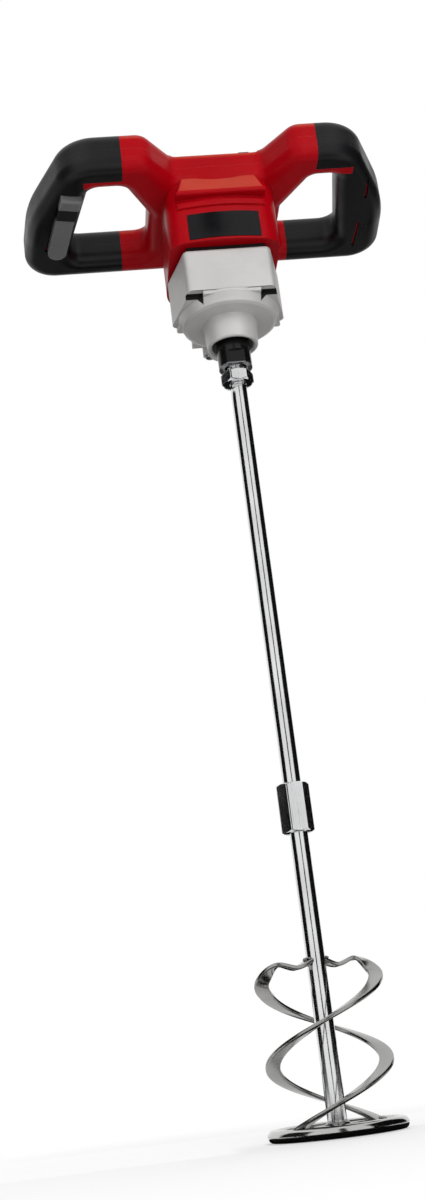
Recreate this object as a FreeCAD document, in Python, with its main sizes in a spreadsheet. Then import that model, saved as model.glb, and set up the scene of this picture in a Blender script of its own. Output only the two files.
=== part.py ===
import FreeCAD, Part
import Sketcher
import math
import os
import re

# A cordless two-handed mixing drill. The origin is on the spindle axis at the lower rim of the neck,
# +Z points up along the spindle, -Y is the front with the label plate, and -X is the trigger side.

doc = FreeCAD.newDocument("MixingDrill")
sheet = doc.addObject("Spreadsheet::Sheet", "Sizes")

# Driving dimensions in millimetres, and shares without a unit.
SIZES = [
    # common clearances and the overrun of every cut
    ("overrun", 2.0),
    ("running_gap", 0.05),
    ("moving_gap", 0.4),
    ("seat_gap", 0.1),
    # handle loops: one moulded plate with a hand gap on each side
    ("loop_rise", 5.0),
    ("loop_height", 36.0),
    ("loop_edge", 11.0),
    ("loop_wall", 3.0),
    ("grip_skin", 2.5),
    ("cavity_edge", 3.0),
    ("loop_rear", 83.0),
    ("loop_front_left", 79.0),
    ("front_bar_lead", 2.0),
    ("left_front_draw", 36.0),
    ("left_bend_reach", 162.0),
    ("left_rear_flare", 9.0),
    ("right_front_draw", 39.0),
    ("right_bend_reach", 151.0),
    ("right_rear_flare", 5.0),
    ("bend_place", 4.0),
    ("front_corner_round", 36.0),
    ("bend_round", 140.0),
    ("rear_corner_round", 27.0),
    ("arm_root", 61.0),
    ("arm_round", 16.0),
    ("saddle_half", 37.0),
    ("saddle_front", 48.0),
    ("saddle_round", 9.0),
    ("gap_inner", 58.0),
    ("gap_inner_front", 4.0),
    ("front_bar", 32.0),
    ("rear_bar", 26.0),
    ("left_slope_share", 0.44),
    ("right_slope_share", 0.52),
    ("left_bar_front", 54.0),
    ("left_bar_rear", 32.0),
    ("right_bar_front", 51.0),
    ("right_bar_rear", 36.0),
    ("gap_round", 11.0),
    ("front_round_share", 0.4),
    # soft grips on the loops
    ("grip_lead", 1.0),
    ("rear_grip_draw", 10.0),
    ("strip_length", 32.0),
    ("strip_depth", 13.0),
    ("strip_lip", 4.5),
    ("rear_strip_depth", 5.0),
    ("rear_strip_height", 7.0),
    ("groove_width", 2.0),
    ("groove_length", 38.0),
    ("groove_inset", 21.0),
    ("groove_front_place", 33.0),
    ("groove_rear_place", 40.0),
    ("inlay_front", 4.0),
    ("inlay_length", 25.0),
    ("inlay_inset", 13.0),
    ("inlay_drop", 10.0),
    # barrel that holds the motor, with hood, belt and label pocket on its front
    ("barrel_half", 47.0),
    ("barrel_front", 50.5),
    ("barrel_crown", 7.0),
    ("barrel_rear", 67.0),
    ("barrel_front_round", 150.0),
    ("barrel_corner_round", 17.0),
    ("barrel_rear_round", 34.0),
    ("barrel_wall", 3.0),
    ("floor_thickness", 3.0),
    ("deck_height", 159.0),
    ("deck_thickness", 4.0),
    ("deck_setback", 15.0),
    ("hood_ledge_share", 0.4881),
    ("hood_top_share", 0.8214),
    ("hood_front", 56.0),
    ("hood_top_front", 44.0),
    ("hood_half", 38.0),
    ("hood_top_half", 30.0),
    ("hood_back", 30.0),
    ("hood_round", 2.5),
    ("belt_share", 0.381),
    ("belt_height", 5.5),
    ("belt_proud", 2.2),
    ("belt_half", 37.0),
    ("belt_round", 1.0),
    ("label_lift", 2.0),
    ("label_height_share", 0.2857),
    ("label_half", 30.0),
    ("label_thickness", 1.2),
    ("label_proud", 0.4),
    ("label_round", 2.0),
    ("vent_width", 3.0),
    ("vent_pitch", 8.0),
    ("vent_count", 7),
    ("vent_share", 0.1778),
    ("vent_height_share", 0.3333),
    # screws that hold the two housing halves together
    ("boss_radius", 5.0),
    ("housing_screw_radius", 2.0),
    ("housing_screw_head", 3.6),
    ("housing_screw_head_height", 3.0),
    ("housing_screw_sink", 4.0),
    ("housing_screw_length", 24.0),
    ("screw_bare_place", 68.0),
    ("screw_front_inset", 16.0),
    ("screw_rear_inset", 13.0),
    ("screw_left_inset", 10.0),
    ("screw_right_inset", 14.0),
    ("screw_left_corner_inset", 35.0),
    ("screw_right_corner_inset", 37.0),
    ("screw_corner_front_inset", 21.0),
    ("screw_corner_rear_inset", 17.0),
    # battery foot with two rails, and its contacts
    ("foot_half", 34.0),
    ("foot_front", 32.0),
    ("foot_setback", 6.0),
    ("foot_base", 3.0),
    ("rail_height", 8.0),
    ("rail_stem", 5.0),
    ("rail_lip", 4.0),
    ("rail_lip_height", 3.5),
    ("rail_place", 27.0),
    ("rail_left_setback", 14.0),
    ("contact_block_half", 17.0),
    ("contact_block_front", 14.0),
    ("contact_block_rear", 40.0),
    ("contact_block_height", 6.0),
    ("blade_thickness", 0.8),
    ("blade_width", 6.0),
    ("blade_length", 18.0),
    ("blade_place", 12.0),
    # gear case
    ("gear_head_room", 10.0),
    ("case_front", 41.0),
    ("case_front_half", 36.0),
    ("case_rear_half", 49.0),
    ("case_shoulder", 12.0),
    ("case_round", 5.0),
    ("case_wall", 6.0),
    ("case_web", 3.0),
    ("gear_room_gap", 4.05),
    ("clip_gap", 1.5),
    ("tail_drop", 1.0),
    ("pinion_room_gap", 1.6),
    ("pinion_wall", 3.7),
    ("upper_room_gap", 1.4),
    ("motor_room_radius", 9.0),
    ("notch_width", 12.0),
    ("notch_height", 3.5),
    ("notch_depth", 8.0),
    ("gasket_inset", 3.0),
    ("gasket_thickness", 4.0),
    # gear cover with the neck that carries the spindle
    ("neck_radius", 21.5),
    ("neck_length", 21.0),
    ("neck_draft", 1.5),
    ("neck_mouth_radius", 17.5),
    ("neck_mouth_chamfer", 1.5),
    ("rim_chamfer", 1.0),
    ("cover_draft", 2.5),
    ("cover_wall", 3.0),
    ("cover_flange", 5.0),
    ("bush_floor", 2.0),
    # screws of the gear cover and of the gear case
    ("case_screw_radius", 2.5),
    ("case_screw_head", 4.2),
    ("case_screw_head_height", 4.0),
    ("case_screw_length", 16.0),
    ("motor_plate_screw_length", 30.0),
    ("cover_side_share", 0.7071),
    ("cover_rear_share", 0.7071),
    ("cover_round", 4.0),
    ("cover_round_share", 0.3),
    ("flange_front", 10.0),
    ("flange_inset", 4.0),
    ("base_lip", 3.0),
    ("cover_lug_radius", 6.0),
    ("cover_lug_reach", 3.5),
    ("plate_screw_front_share", 0.62),
    ("plate_screw_front_half_share", 0.58),
    ("plate_screw_rear_share", 0.1),
    ("plate_screw_rear_half_share", 0.76),
    # gears
    ("output_teeth", 43),
    ("lay_pinion_teeth", 12),
    ("lay_gear_teeth", 42),
    ("motor_pinion_teeth", 10),
    ("slow_module", 1.5),
    ("fast_module", 1.0),
    ("pressure_angle", 25.0),
    ("addendum_share", 0.8),
    ("dedendum_share", 1.05),
    ("backlash", 0.16),
    ("gear_lift", 2.0),
    ("output_gear_width", 11.0),
    ("lay_gear_lift", 3.0),
    ("lay_gear_width", 8.0),
    ("pinion_lead", 1.0),
    ("motor_pinion_width", 10.5),
    ("lay_shaft_radius", 5.0),
    ("bush_radius", 8.0),
    ("lower_bush_height", 6.0),
    # spindle, its bearings and seal
    ("spindle_radius", 14.0),
    ("spindle_reach", 20.0),
    ("spindle_flats", 24.0),
    ("spindle_flats_length", 12.0),
    ("shoulder_gap", 0.5),
    ("journal_radius", 10.0),
    ("upper_journal_radius", 7.5),
    ("thread_depth", 24.0),
    ("socket_chamfer", 3.0),
    ("lower_bearing_radius", 16.0),
    ("lower_bearing_width", 8.0),
    ("upper_bearing_radius", 13.0),
    ("upper_bearing_width", 7.0),
    ("seal_gap", 1.0),
    ("seal_width", 5.0),
    ("clip_radius", 12.5),
    ("clip_width", 1.5),
    # motor
    ("motor_plate_gap", 1.0),
    ("motor_plate_centre", 9.0),
    ("motor_plate_thickness", 5.0),
    ("motor_radius", 25.0),
    ("motor_head_room", 3.0),
    ("motor_wall", 1.6),
    ("motor_boss_radius", 9.0),
    ("motor_boss_drop", 7.0),
    ("motor_bearing_radius", 7.0),
    ("motor_bearing_width", 5.0),
    ("motor_shaft_radius", 2.5),
    ("magnet_inner", 19.5),
    ("magnet_share", 0.1234),
    ("magnet_length_share", 0.65),
    ("magnet_angle", 130.0),
    ("core_radius", 18.8),
    ("core_share", 0.1883),
    ("core_length_share", 0.487),
    ("slot_width", 2.4),
    ("slot_depth", 4.0),
    ("slot_count", 12),
    ("winding_inner", 7.0),
    ("winding_radius", 16.5),
    ("winding_share", 0.0812),
    ("fan_hub", 5.0),
    ("fan_radius", 20.0),
    ("fan_gap", 0.8),
    ("fan_share", 0.0909),
    ("fan_blade", 1.4),
    ("fan_blades", 9),
    ("commutator_radius", 8.5),
    ("commutator_share", 0.789),
    ("commutator_length_share", 0.1623),
    ("end_cap_thickness", 3.0),
    ("end_cap_boss", 6.0),
    ("brush_ring_inner", 11.5),
    ("brush_ring_share", 0.1948),
    ("brush_share", 0.8296),
    ("brush_height_share", 0.0812),
    ("brush_half", 3.0),
    ("brush_outer", 20.5),
    ("motor_screw_radius", 1.6),
    ("motor_screw_head", 3.0),
    ("motor_screw_head_height", 2.0),
    ("motor_screw_place", 16.0),
    # control board, heat sink and leads
    ("board_front_share", 0.9149),
    ("board_thickness", 1.6),
    ("board_half_share", 0.6659),
    ("board_height_share", 0.564),
    ("sink_half_share", 0.64),
    ("sink_height_share", 0.59),
    ("sink_base", 2.5),
    ("sink_fin", 6.0),
    ("sink_fin_width", 1.6),
    ("sink_lift_share", 0.2),
    ("sink_fins", 5),
    ("lead_radius", 1.3),
    ("lead_bend", 6.0),
    ("lead_reach_share", 0.45),
    ("motor_lead_half", 9.0),
    ("power_lead_half", 4.0),
    ("lead_rise", 3.0),
    # trigger group on the left outer bar, in the bar's own direction
    ("trigger_inset", 31.5),
    ("trigger_y", -12.0),
    ("trigger_turn", 12.3),
    ("slot_half", 8.8),
    ("guard_gap", 1.0),
    ("trigger_room", 3.0),
    ("trigger_front", 2.4),
    ("trigger_length", 48.0),
    ("trigger_drop_front", 3.5),
    ("trigger_drop_rear", 9.5),
    ("trigger_thickness", 6.0),
    ("pivot_place", 1.5),
    ("pivot_height", 8.5),
    ("pin_radius", 1.25),
    ("pin_half", 11.5),
    ("button_play", 0.6),
    ("button_depth", 15.2),
    ("button_gap", 0.8),
    ("button_drop", 4.5),
    ("button_travel", 3.0),
    ("button_flange_height", 2.0),
    ("guard_depth", 13.0),
    ("guard_drop", 6.0),
    ("guard_round", 2.0),
    ("switch_pad_half", 5.0),
    ("switch_front", 6.0),
    ("switch_rear", 40.0),
    ("switch_bottom", 9.0),
    ("plunger_half", 4.0),
    ("plunger_front", 20.0),
    ("plunger_rear", 24.0),
    ("plunger_top", 12.0),
    ("plunger_room", 17.5),
    ("plunger_lift", 0.6),
    # stirrer
    ("stirrer_length", 599.0),
    ("rod_radius", 7.0),
    ("nut_gap", 5.0),
    ("nut_length", 10.0),
    ("nut_flats", 24.0),
    ("hex_corner_share", 0.57735),
    ("hex_chamfer", 1.2),
    ("coupling_share", 0.5893),
    ("coupling_length", 37.0),
    ("coupling_flats", 22.0),
    ("ring_radius", 45.5),
    ("ring_bar", 4.5),
    ("ribbon_inset", 5.0),
    ("ribbon_width", 10.5),
    ("ribbon_thickness", 3.0),
    ("ribbon_top", 102.5),
    ("ribbon_foot", 0.5),
    ("ribbon_turn", 330.0),
    ("lobe_height", 12.3),
    ("lobe_share", 0.76),
    ("lobe_lead", 14.0),
    ("dip_height", 9.0),
    ("dip_share", 0.4),
    ("weld_height", 13.5),
    ("spoke_half", 5.0),
    ("spoke_turn", 49.0),
    ("spoke_height", 3.0),
]
# Sizes and places that follow others. Heights run up from the neck rim through the gear stack to the deck.
FOLLOWING = {
    "loop_middle": "deck_height + loop_rise - loop_height / 2",
    "loop_front_right": "loop_front_left + front_bar_lead",
    "left_front_corner": "left_bend_reach - left_front_draw",
    "left_rear_corner": "left_bend_reach + left_rear_flare",
    "right_front_corner": "right_bend_reach - right_front_draw",
    "right_rear_corner": "right_bend_reach + right_rear_flare",
    "gap_front": "loop_front_left - front_bar",
    "gap_rear": "loop_rear - rear_bar",
    "left_gap_front_outer": "left_bend_reach - left_bar_front",
    "left_gap_rear_outer": "left_bend_reach - left_bar_rear",
    "right_gap_front_outer": "right_bend_reach - right_bar_front",
    "right_gap_rear_outer": "right_bend_reach - right_bar_rear",
    "left_slope_end": "gap_inner + (left_gap_front_outer - gap_inner) * left_slope_share",
    "right_slope_end": "gap_inner + (right_gap_front_outer - gap_inner) * right_slope_share",
    "left_front_round": "(left_gap_front_outer - left_slope_end) * front_round_share",
    "right_front_round": "(right_gap_front_outer - right_slope_end) * front_round_share",
    "left_grip_start": "left_slope_end + grip_lead",
    "right_grip_start": "right_slope_end + grip_lead",
    "right_rear_grip_start": "right_slope_end - rear_grip_draw",
    "groove_centre": "right_bend_reach - groove_inset",
    "inlay_inner": "right_bend_reach - inlay_inset",
    "cover_floor": "neck_length + cover_wall",
    "case_bottom": "cover_floor + cover_flange",
    "output_gear_bottom": "cover_floor + gear_lift",
    "gear_room_top": "output_gear_bottom + output_gear_width + clip_width + clip_gap",
    "case_base_top": "gear_room_top + case_web",
    "tail_bottom": "gear_room_top - tail_drop",
    "upper_room_bottom": "gear_room_top + upper_bearing_width + case_web",
    "lay_gear_bottom": "upper_room_bottom + lay_gear_lift",
    "motor_pinion_bottom": "lay_gear_bottom - pinion_lead",
    "case_top": "lay_gear_bottom + lay_gear_width + gear_head_room",
    "barrel_floor": "case_top + gasket_thickness",
    "front_height": "deck_height - barrel_floor",
    "deck_rear": "loop_rear - deck_setback",
    "foot_rear": "deck_rear - foot_setback",
    "hood_ledge": "barrel_floor + front_height * hood_ledge_share",
    "hood_top": "barrel_floor + front_height * hood_top_share",
    "belt_bottom": "barrel_floor + front_height * belt_share",
    "label_bottom": "barrel_floor + label_lift",
    "label_height": "front_height * label_height_share",
    "vent_bottom": "barrel_floor + front_height * vent_share",
    "vent_height": "front_height * vent_height_share",
    "screw_front_place": "loop_front_left - screw_front_inset",
    "screw_rear_place": "loop_rear - screw_rear_inset",
    "screw_left_outer": "left_bend_reach - screw_left_inset",
    "screw_right_outer": "right_bend_reach - screw_right_inset",
    "screw_left_corner": "left_bend_reach - screw_left_corner_inset",
    "screw_right_corner": "right_bend_reach - screw_right_corner_inset",
    "screw_corner_front": "loop_front_left - screw_corner_front_inset",
    "screw_corner_rear": "loop_rear - screw_corner_rear_inset",
    "gear_room_radius": "slow_module * (output_teeth / 2 + addendum_share) + gear_room_gap",
    "case_base_radius": "gear_room_radius + case_wall",
    "cover_radius": "case_base_radius - cover_draft",
    "pinion_room_radius": "slow_module * (lay_pinion_teeth / 2 + addendum_share) + pinion_room_gap",
    "upper_room_radius": "fast_module * (lay_gear_teeth / 2 + addendum_share) + upper_room_gap",
    "shaft_y": "slow_module * (output_teeth + lay_pinion_teeth) / 2",
    "motor_y": "shaft_y - fast_module * (lay_gear_teeth + motor_pinion_teeth) / 2",
    "case_tail_half": "upper_room_radius + pinion_wall",
    "case_tail_rear": "shaft_y + upper_room_radius + case_web",
    "bush_room_bottom": "output_gear_bottom - lower_bush_height - bush_floor",
    "cover_lug_swing": "pinion_room_radius + pinion_wall + cover_lug_reach",
    "cover_screw_half": "cover_lug_swing * cover_side_share",
    "cover_screw_place": "shaft_y + cover_lug_swing * cover_rear_share",
    "flange_half": "case_rear_half - (case_rear_half - case_front_half) * flange_share",
    "flange_share": "(case_shoulder + flange_front) / (case_shoulder + case_front)",
    "motor_plate_radius": "barrel_half - barrel_wall - motor_plate_gap",
    "plate_screw_front_half": "motor_plate_radius * plate_screw_front_half_share",
    "plate_screw_front_place": "motor_plate_radius * plate_screw_front_share - motor_plate_centre",
    "plate_screw_rear_half": "motor_plate_radius * plate_screw_rear_half_share",
    "plate_screw_rear_place": "motor_plate_centre - motor_plate_radius * plate_screw_rear_share",
    "lower_bearing_bottom": "cover_floor - lower_bearing_width",
    "spindle_shoulder": "lower_bearing_bottom - shoulder_gap",
    "seal_bottom": "lower_bearing_bottom - seal_width - seal_gap",
    "plate_floor": "barrel_floor + floor_thickness",
    "plate_top": "plate_floor + motor_plate_thickness",
    "under_deck": "deck_height - deck_thickness",
    "can_top": "under_deck - motor_head_room - end_cap_boss - end_cap_thickness",
    "fan_bottom": "plate_top + motor_wall + motor_screw_head_height + fan_gap",
    "rotor_length": "can_top - fan_bottom",
    "fan_height": "rotor_length * fan_share",
    "winding_height": "rotor_length * winding_share",
    "core_bottom": "fan_bottom + rotor_length * core_share",
    "core_length": "rotor_length * core_length_share",
    "magnet_bottom": "fan_bottom + rotor_length * magnet_share",
    "magnet_length": "rotor_length * magnet_length_share",
    "commutator_bottom": "fan_bottom + rotor_length * commutator_share",
    "commutator_length": "rotor_length * commutator_length_share",
    "brush_ring_height": "rotor_length * brush_ring_share",
    "brush_bottom": "fan_bottom + rotor_length * brush_share",
    "brush_height": "rotor_length * brush_height_share",
    "board_front": "(barrel_half - barrel_wall) * board_front_share - motor_plate_centre",
    "board_half": "(barrel_half - barrel_wall) * board_half_share",
    "board_height": "(under_deck - plate_top) * board_height_share",
    "sink_half": "board_half * sink_half_share",
    "sink_height": "board_height * sink_height_share",
    "sink_lift": "board_height * sink_lift_share",
    "trigger_x": "trigger_inset - left_bend_reach",
    "trigger_half": "slot_half - button_gap",
    "button_rear": "trigger_front + button_gap",
    "button_front": "button_rear + button_depth",
    "button_flange": "slot_half + moving_gap",
    "guard_rear": "button_front + button_play",
    "guard_front": "guard_rear + guard_depth",
    "slot_front": "guard_front + guard_gap",
    "slot_rear": "trigger_length + trigger_room",
    "switch_half": "slot_half - moving_gap",
    "coupling_top": "stirrer_length * coupling_share",
    "ribbon_radius": "ring_radius - ribbon_inset",
    "lobe_radius": "ribbon_radius * lobe_share",
    "dip_radius": "ribbon_radius * dip_share",
}
for row, (alias, number) in enumerate(SIZES, 1):
    sheet.set(f"A{row}", alias)
    sheet.set(f"B{row}", str(number))
    sheet.setAlias(f"B{row}", alias)
doc.recompute()
ALIASES = {alias for alias, number in SIZES}
PARTS = []


def spelled_out(formula):
    """Replace each following size in a formula by its own formula, down to names of the sheet."""
    return re.sub(r"[a-z_]+", lambda word: f"({spelled_out(FOLLOWING[word[0]])})"
                  if word[0] in FOLLOWING else word[0], formula)


def tied(formula):
    """Write a formula of sizes as an expression that any object of the document can hold."""
    return re.sub(r"[a-z_]+", lambda word: "Sizes." + word[0] if word[0] in ALIASES else word[0],
                  spelled_out(formula))


def value(formula):
    """Work out a formula of sizes."""
    return float(sheet.evalExpression(spelled_out(formula)))


def point(x, y, z):
    """A point whose three coordinates are formulas of sheet names."""
    return FreeCAD.Vector(value(x), value(y), value(z))


# Sketches, bodies and features whose sizes stay tied to the sheet.

def new_body(label, x="0", y="0", z="0", turn=None):
    body = doc.addObject("PartDesign::Body", label)
    body.Label = label
    if turn:
        body.setExpression("Placement.Rotation.Angle", tied(turn))
    for side, formula in zip("xyz", (x, y, z)):
        body.setExpression("Placement.Base." + side, tied(formula))
    PARTS.append(body)
    return body


def sketch_on(body, role, offset="0"):
    plane = next(item for item in body.Origin.OriginFeatures if item.Role == role)
    sketch = body.newObject("Sketcher::SketchObject", body.Label + "_sketch")
    sketch.AttachmentSupport = [(plane, "")]
    sketch.MapMode = "FlatFace"
    sketch.setExpression("AttachmentOffset.Base.z", tied(offset))
    return sketch


def plan(body, height):
    """A level sketch at a height."""
    return sketch_on(body, "XY_Plane", height)


def tie_point(sketch, geometry, end, across, up):
    """Hold one point of a sketch at two formulas, measured from the sketch's origin."""
    for kind, formula in (("DistanceX", across), ("DistanceY", up)):
        held = sketch.addConstraint(Sketcher.Constraint(kind, -1, 1, geometry, end, value(formula)))
        sketch.setExpression(f"Constraints[{held}]", tied(formula))


def corners(sketch, places):
    """A closed loop of straight lines through corners given as pairs of formulas."""
    spots = [FreeCAD.Vector(value(across), value(up), 0) for across, up in places]
    first = sketch.GeometryCount
    for here, there in zip(spots, spots[1:] + spots[:1]):
        sketch.addGeometry(Part.LineSegment(here, there))
    for index, (across, up) in enumerate(places):
        before = first + (index - 1) % len(places)
        sketch.addConstraint(Sketcher.Constraint("Coincident", before, 2, first + index, 1))
        tie_point(sketch, first + index, 1, across, up)
    return sketch


def rectangle(sketch, low_x, high_x, low_y, high_y):
    return corners(sketch, [(low_x, low_y), (high_x, low_y), (high_x, high_y), (low_x, high_y)])


def circle(sketch, radius, across="0", up="0"):
    centre = FreeCAD.Vector(value(across), value(up), 0)
    geometry = sketch.addGeometry(Part.Circle(centre, FreeCAD.Vector(0, 0, 1), value(radius)))
    held = sketch.addConstraint(Sketcher.Constraint("Radius", geometry, value(radius)))
    sketch.setExpression(f"Constraints[{held}]", tied(radius))
    tie_point(sketch, geometry, 3, across, up)
    return sketch


def hexagon(sketch, flats):
    """A hexagon centred on the axis, from its width across flats."""
    wide = f"{flats} * hex_corner_share"
    half = f"{flats} * hex_corner_share / 2"
    side = f"{flats} / 2"
    return corners(sketch, [(wide, "0"), (half, side), ("-" + half, side),
                            ("-" + wide, "0"), ("-" + half, "-" + side), (half, "-" + side)])


def pad(body, sketch, length, kind="PartDesign::Pad", midplane=False):
    feature = body.newObject(kind, body.Label + "_feature")
    feature.Profile = sketch
    feature.setExpression("Length", tied(length))
    if midplane:
        feature.SideType = "Symmetric"
    return feature


def pocket(body, sketch, length):
    """Cut down from a sketch, and make sure that the cut took something away."""
    before = doc_volume(body)
    feature = pad(body, sketch, length, "PartDesign::Pocket")
    if doc_volume(body) >= before:
        raise RuntimeError(body.Label + ": a pocket cuts nothing")
    return feature


def doc_volume(body):
    doc.recompute()
    return body.Shape.Volume


def turned(label, profile, x="0", y="0"):
    """A turned piece: a profile of radius and height pairs, spun about a vertical axis."""
    body = new_body(label, x, y)
    sketch = corners(sketch_on(body, "XZ_Plane"), profile)
    feature = body.newObject("PartDesign::Revolution", label + "_feature")
    feature.Profile = sketch
    feature.ReferenceAxis = (sketch, ["V_Axis"])
    feature.Angle = 360.0
    return body


def ring(label, inner, outer, bottom, height, x="0", y="0"):
    """A plain ring, bush or bearing."""
    top = f"{bottom} + {height}"
    return turned(label, [(inner, bottom), (outer, bottom), (outer, top), (inner, top)], x, y)


def round_edges(body, radius, chosen):
    """Round the edges of the newest feature that a test picks out."""
    doc.recompute()
    base = body.Tip
    names = [f"Edge{i}" for i, edge in enumerate(base.Shape.Edges, 1) if chosen(edge)]
    feature = body.newObject("PartDesign::Fillet", body.Label + "_edges")
    feature.Base = (base, names)
    feature.setExpression("Radius", tied(radius))
    return feature


def is_upright(edge):
    """True for a straight edge along Z."""
    box = edge.BoundBox
    return box.XLength + box.YLength < box.ZLength * 1e-6


def is_level(edge, height):
    """True for an edge that lies at one height."""
    box = edge.BoundBox
    return abs(box.ZMin - height) + abs(box.ZMax - height) < value("overrun") * 1e-3


def solid(label, shape):
    """A piece whose shape is worked out from the sheet's sizes."""
    feature = doc.addObject("Part::Feature", label)
    feature.Label = label
    feature.Shape = shape
    PARTS.append(feature)
    return feature


# Shapes for the moulded and formed pieces.

def block(low_x, high_x, low_y, high_y, low_z, high_z):
    low = point(low_x, low_y, low_z)
    size = point(high_x, high_y, high_z) - low
    return Part.makeBox(size.x, size.y, size.z, low)


def drum(radius, bottom, height, x="0", y="0"):
    return Part.makeCylinder(value(radius), value(height), point(x, y, bottom))


def joined(shapes):
    return shapes[0].multiFuse(shapes[1:]).removeSplitter()


def rounded_face(places):
    """A face inside corners (x, y, radius), with each corner rounded by a tangent arc."""
    spots = [FreeCAD.Vector(value(x), value(y), 0) for x, y, radius in places]
    starts, middles, ends = [], [], []
    for index, (x, y, radius) in enumerate(places):
        corner = spots[index]
        back = (spots[index - 1] - corner).normalize()
        ahead = (spots[(index + 1) % len(spots)] - corner).normalize()
        half = back.getAngle(ahead) / 2
        reach = value(radius) / math.tan(half)
        inward = (back + ahead).normalize()
        starts.append(corner + back * reach)
        ends.append(corner + ahead * reach)
        middles.append(corner + inward * (value(radius) / math.sin(half) - value(radius)))
    edges = []
    for index in range(len(spots)):
        edges.append(Part.Arc(starts[index], middles[index], ends[index]).toShape())
        following = starts[(index + 1) % len(spots)]
        edges.append(Part.LineSegment(ends[index], following).toShape())
    return Part.Face(Part.Wire(edges))


def prism(face, bottom, height):
    """A face in the ground plane, lifted to a height and extruded upwards."""
    raised = face.copy()
    raised.translate(FreeCAD.Vector(0, 0, bottom))
    return raised.extrude(FreeCAD.Vector(0, 0, height))


LOOP_OUTLINE = [
    ("-saddle_half", "-saddle_front", "saddle_round"),
    ("-arm_root", "-loop_front_left", "arm_round"),
    ("-left_front_corner", "-loop_front_left", "front_corner_round"),
    ("-left_bend_reach", "bend_place", "bend_round"),
    ("-left_rear_corner", "loop_rear", "rear_corner_round"),
    ("right_rear_corner", "loop_rear", "rear_corner_round"),
    ("right_bend_reach", "bend_place", "bend_round"),
    ("right_front_corner", "-loop_front_right", "front_corner_round"),
    ("arm_root", "-loop_front_right", "arm_round"),
    ("saddle_half", "-saddle_front", "saddle_round"),
]
LEFT_GAP = [
    ("-gap_inner", "-gap_inner_front", "gap_round"),
    ("-left_slope_end", "-gap_front", "left_front_round"),
    ("-left_gap_front_outer", "-gap_front", "left_front_round"),
    ("-left_gap_rear_outer", "gap_rear", "gap_round"),
    ("-gap_inner", "gap_rear", "gap_round"),
]
RIGHT_GAP = [
    ("gap_inner", "-gap_inner_front", "gap_round"),
    ("right_slope_end", "-gap_front", "right_front_round"),
    ("right_gap_front_outer", "-gap_front", "right_front_round"),
    ("right_gap_rear_outer", "gap_rear", "gap_round"),
    ("gap_inner", "gap_rear", "gap_round"),
]


BARREL_PLAN = [
    ("-barrel_half", "-barrel_front + barrel_crown", "barrel_corner_round"),
    ("0", "-barrel_front", "barrel_front_round"),
    ("barrel_half", "-barrel_front + barrel_crown", "barrel_corner_round"),
    ("barrel_half", "barrel_rear", "barrel_rear_round"),
    ("-barrel_half", "barrel_rear", "barrel_rear_round"),
]


def barrel_block(proud, bottom, height):
    """The barrel's plan, grown outwards by a distance, as a block from a height upwards."""
    face = rounded_face(BARREL_PLAN)
    grown = value(proud)
    if grown:
        face = face.makeOffset2D(grown)
    return prism(face, value(bottom), value(height))


def loop_slab(inset, edge):
    """The plate of both handle loops, drawn in by a wall on every side, with its rims rounded."""
    drawn_in = value(inset)
    face = rounded_face(LOOP_OUTLINE)
    gaps = [rounded_face(LEFT_GAP), rounded_face(RIGHT_GAP)]
    if drawn_in:
        face = face.makeOffset2D(-drawn_in)
        gaps = [gap.makeOffset2D(drawn_in) for gap in gaps]
    bottom = value(f"loop_middle - loop_height / 2 + {inset}")
    height = value(f"loop_height - 2 * ({inset})")
    slab = prism(face, bottom, height)
    for gap in gaps:
        slab = slab.cut(prism(gap, bottom, height))
    rims = [side for side in slab.Edges if is_level(side, bottom) or is_level(side, bottom + height)]
    return slab.makeFillet(value(edge), rims)


FLANK_SHARES = (0.0, 0.35, 0.7, 1.0)


def gear_face(teeth, module, phase):
    """A spur gear's outline. A flank's half angle at radius r is that of the pitch circle
    plus inv(pressure angle) minus inv(acos(base radius / r)), where inv(a) = tan(a) - a."""
    count = round(value(teeth))
    size = value(module)
    pressure = math.radians(value("pressure_angle"))
    pitch = size * count / 2
    base = pitch * math.cos(pressure)
    tip = pitch + size * value("addendum_share")
    root = pitch - size * value("dedendum_share")
    half_pitch = math.pi / (2 * count) - value("backlash") / (4 * pitch)

    def half_angle(radius):
        local = math.acos(min(1.0, base / radius))
        return half_pitch + math.tan(pressure) - pressure - math.tan(local) + local

    foot = max(base, root)
    heights = [foot + (tip - foot) * share for share in FLANK_SHARES]
    flank = [(radius, half_angle(radius)) for radius in heights]
    if root < base:
        flank.insert(0, (root, half_angle(base)))
    rim = []
    for tooth in range(count):
        middle = phase + 2 * math.pi * tooth / count
        rim += [(radius, middle - half) for radius, half in flank]
        rim += [(radius, middle + half) for radius, half in reversed(flank)]
    places = [FreeCAD.Vector(r * math.cos(a), r * math.sin(a), 0) for r, a in rim]
    return Part.Face(Part.makePolygon(places + places[:1]))


def gear(label, teeth, module, phase, bottom, width, bore, y):
    """A spur gear on a vertical axis, with a round bore."""
    body = prism(gear_face(teeth, module, phase), 0, value(width))
    body = body.cut(Part.makeCylinder(value(bore), value(width)))
    body.translate(point("0", y, bottom))
    return solid(label, body)


def screw(x, y, seat, radius, length, head, head_height, down=True):
    """A screw with a round head. The head sits on the seat height and the shank runs away from it."""
    sense = FreeCAD.Vector(0, 0, -1 if down else 1)
    base = point(x, y, seat)
    shank = Part.makeCylinder(value(radius), value(length), base, sense)
    cap = Part.makeCylinder(value(head), value(head_height), base, sense * -1)
    return shank.fuse(cap).removeSplitter()


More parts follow.
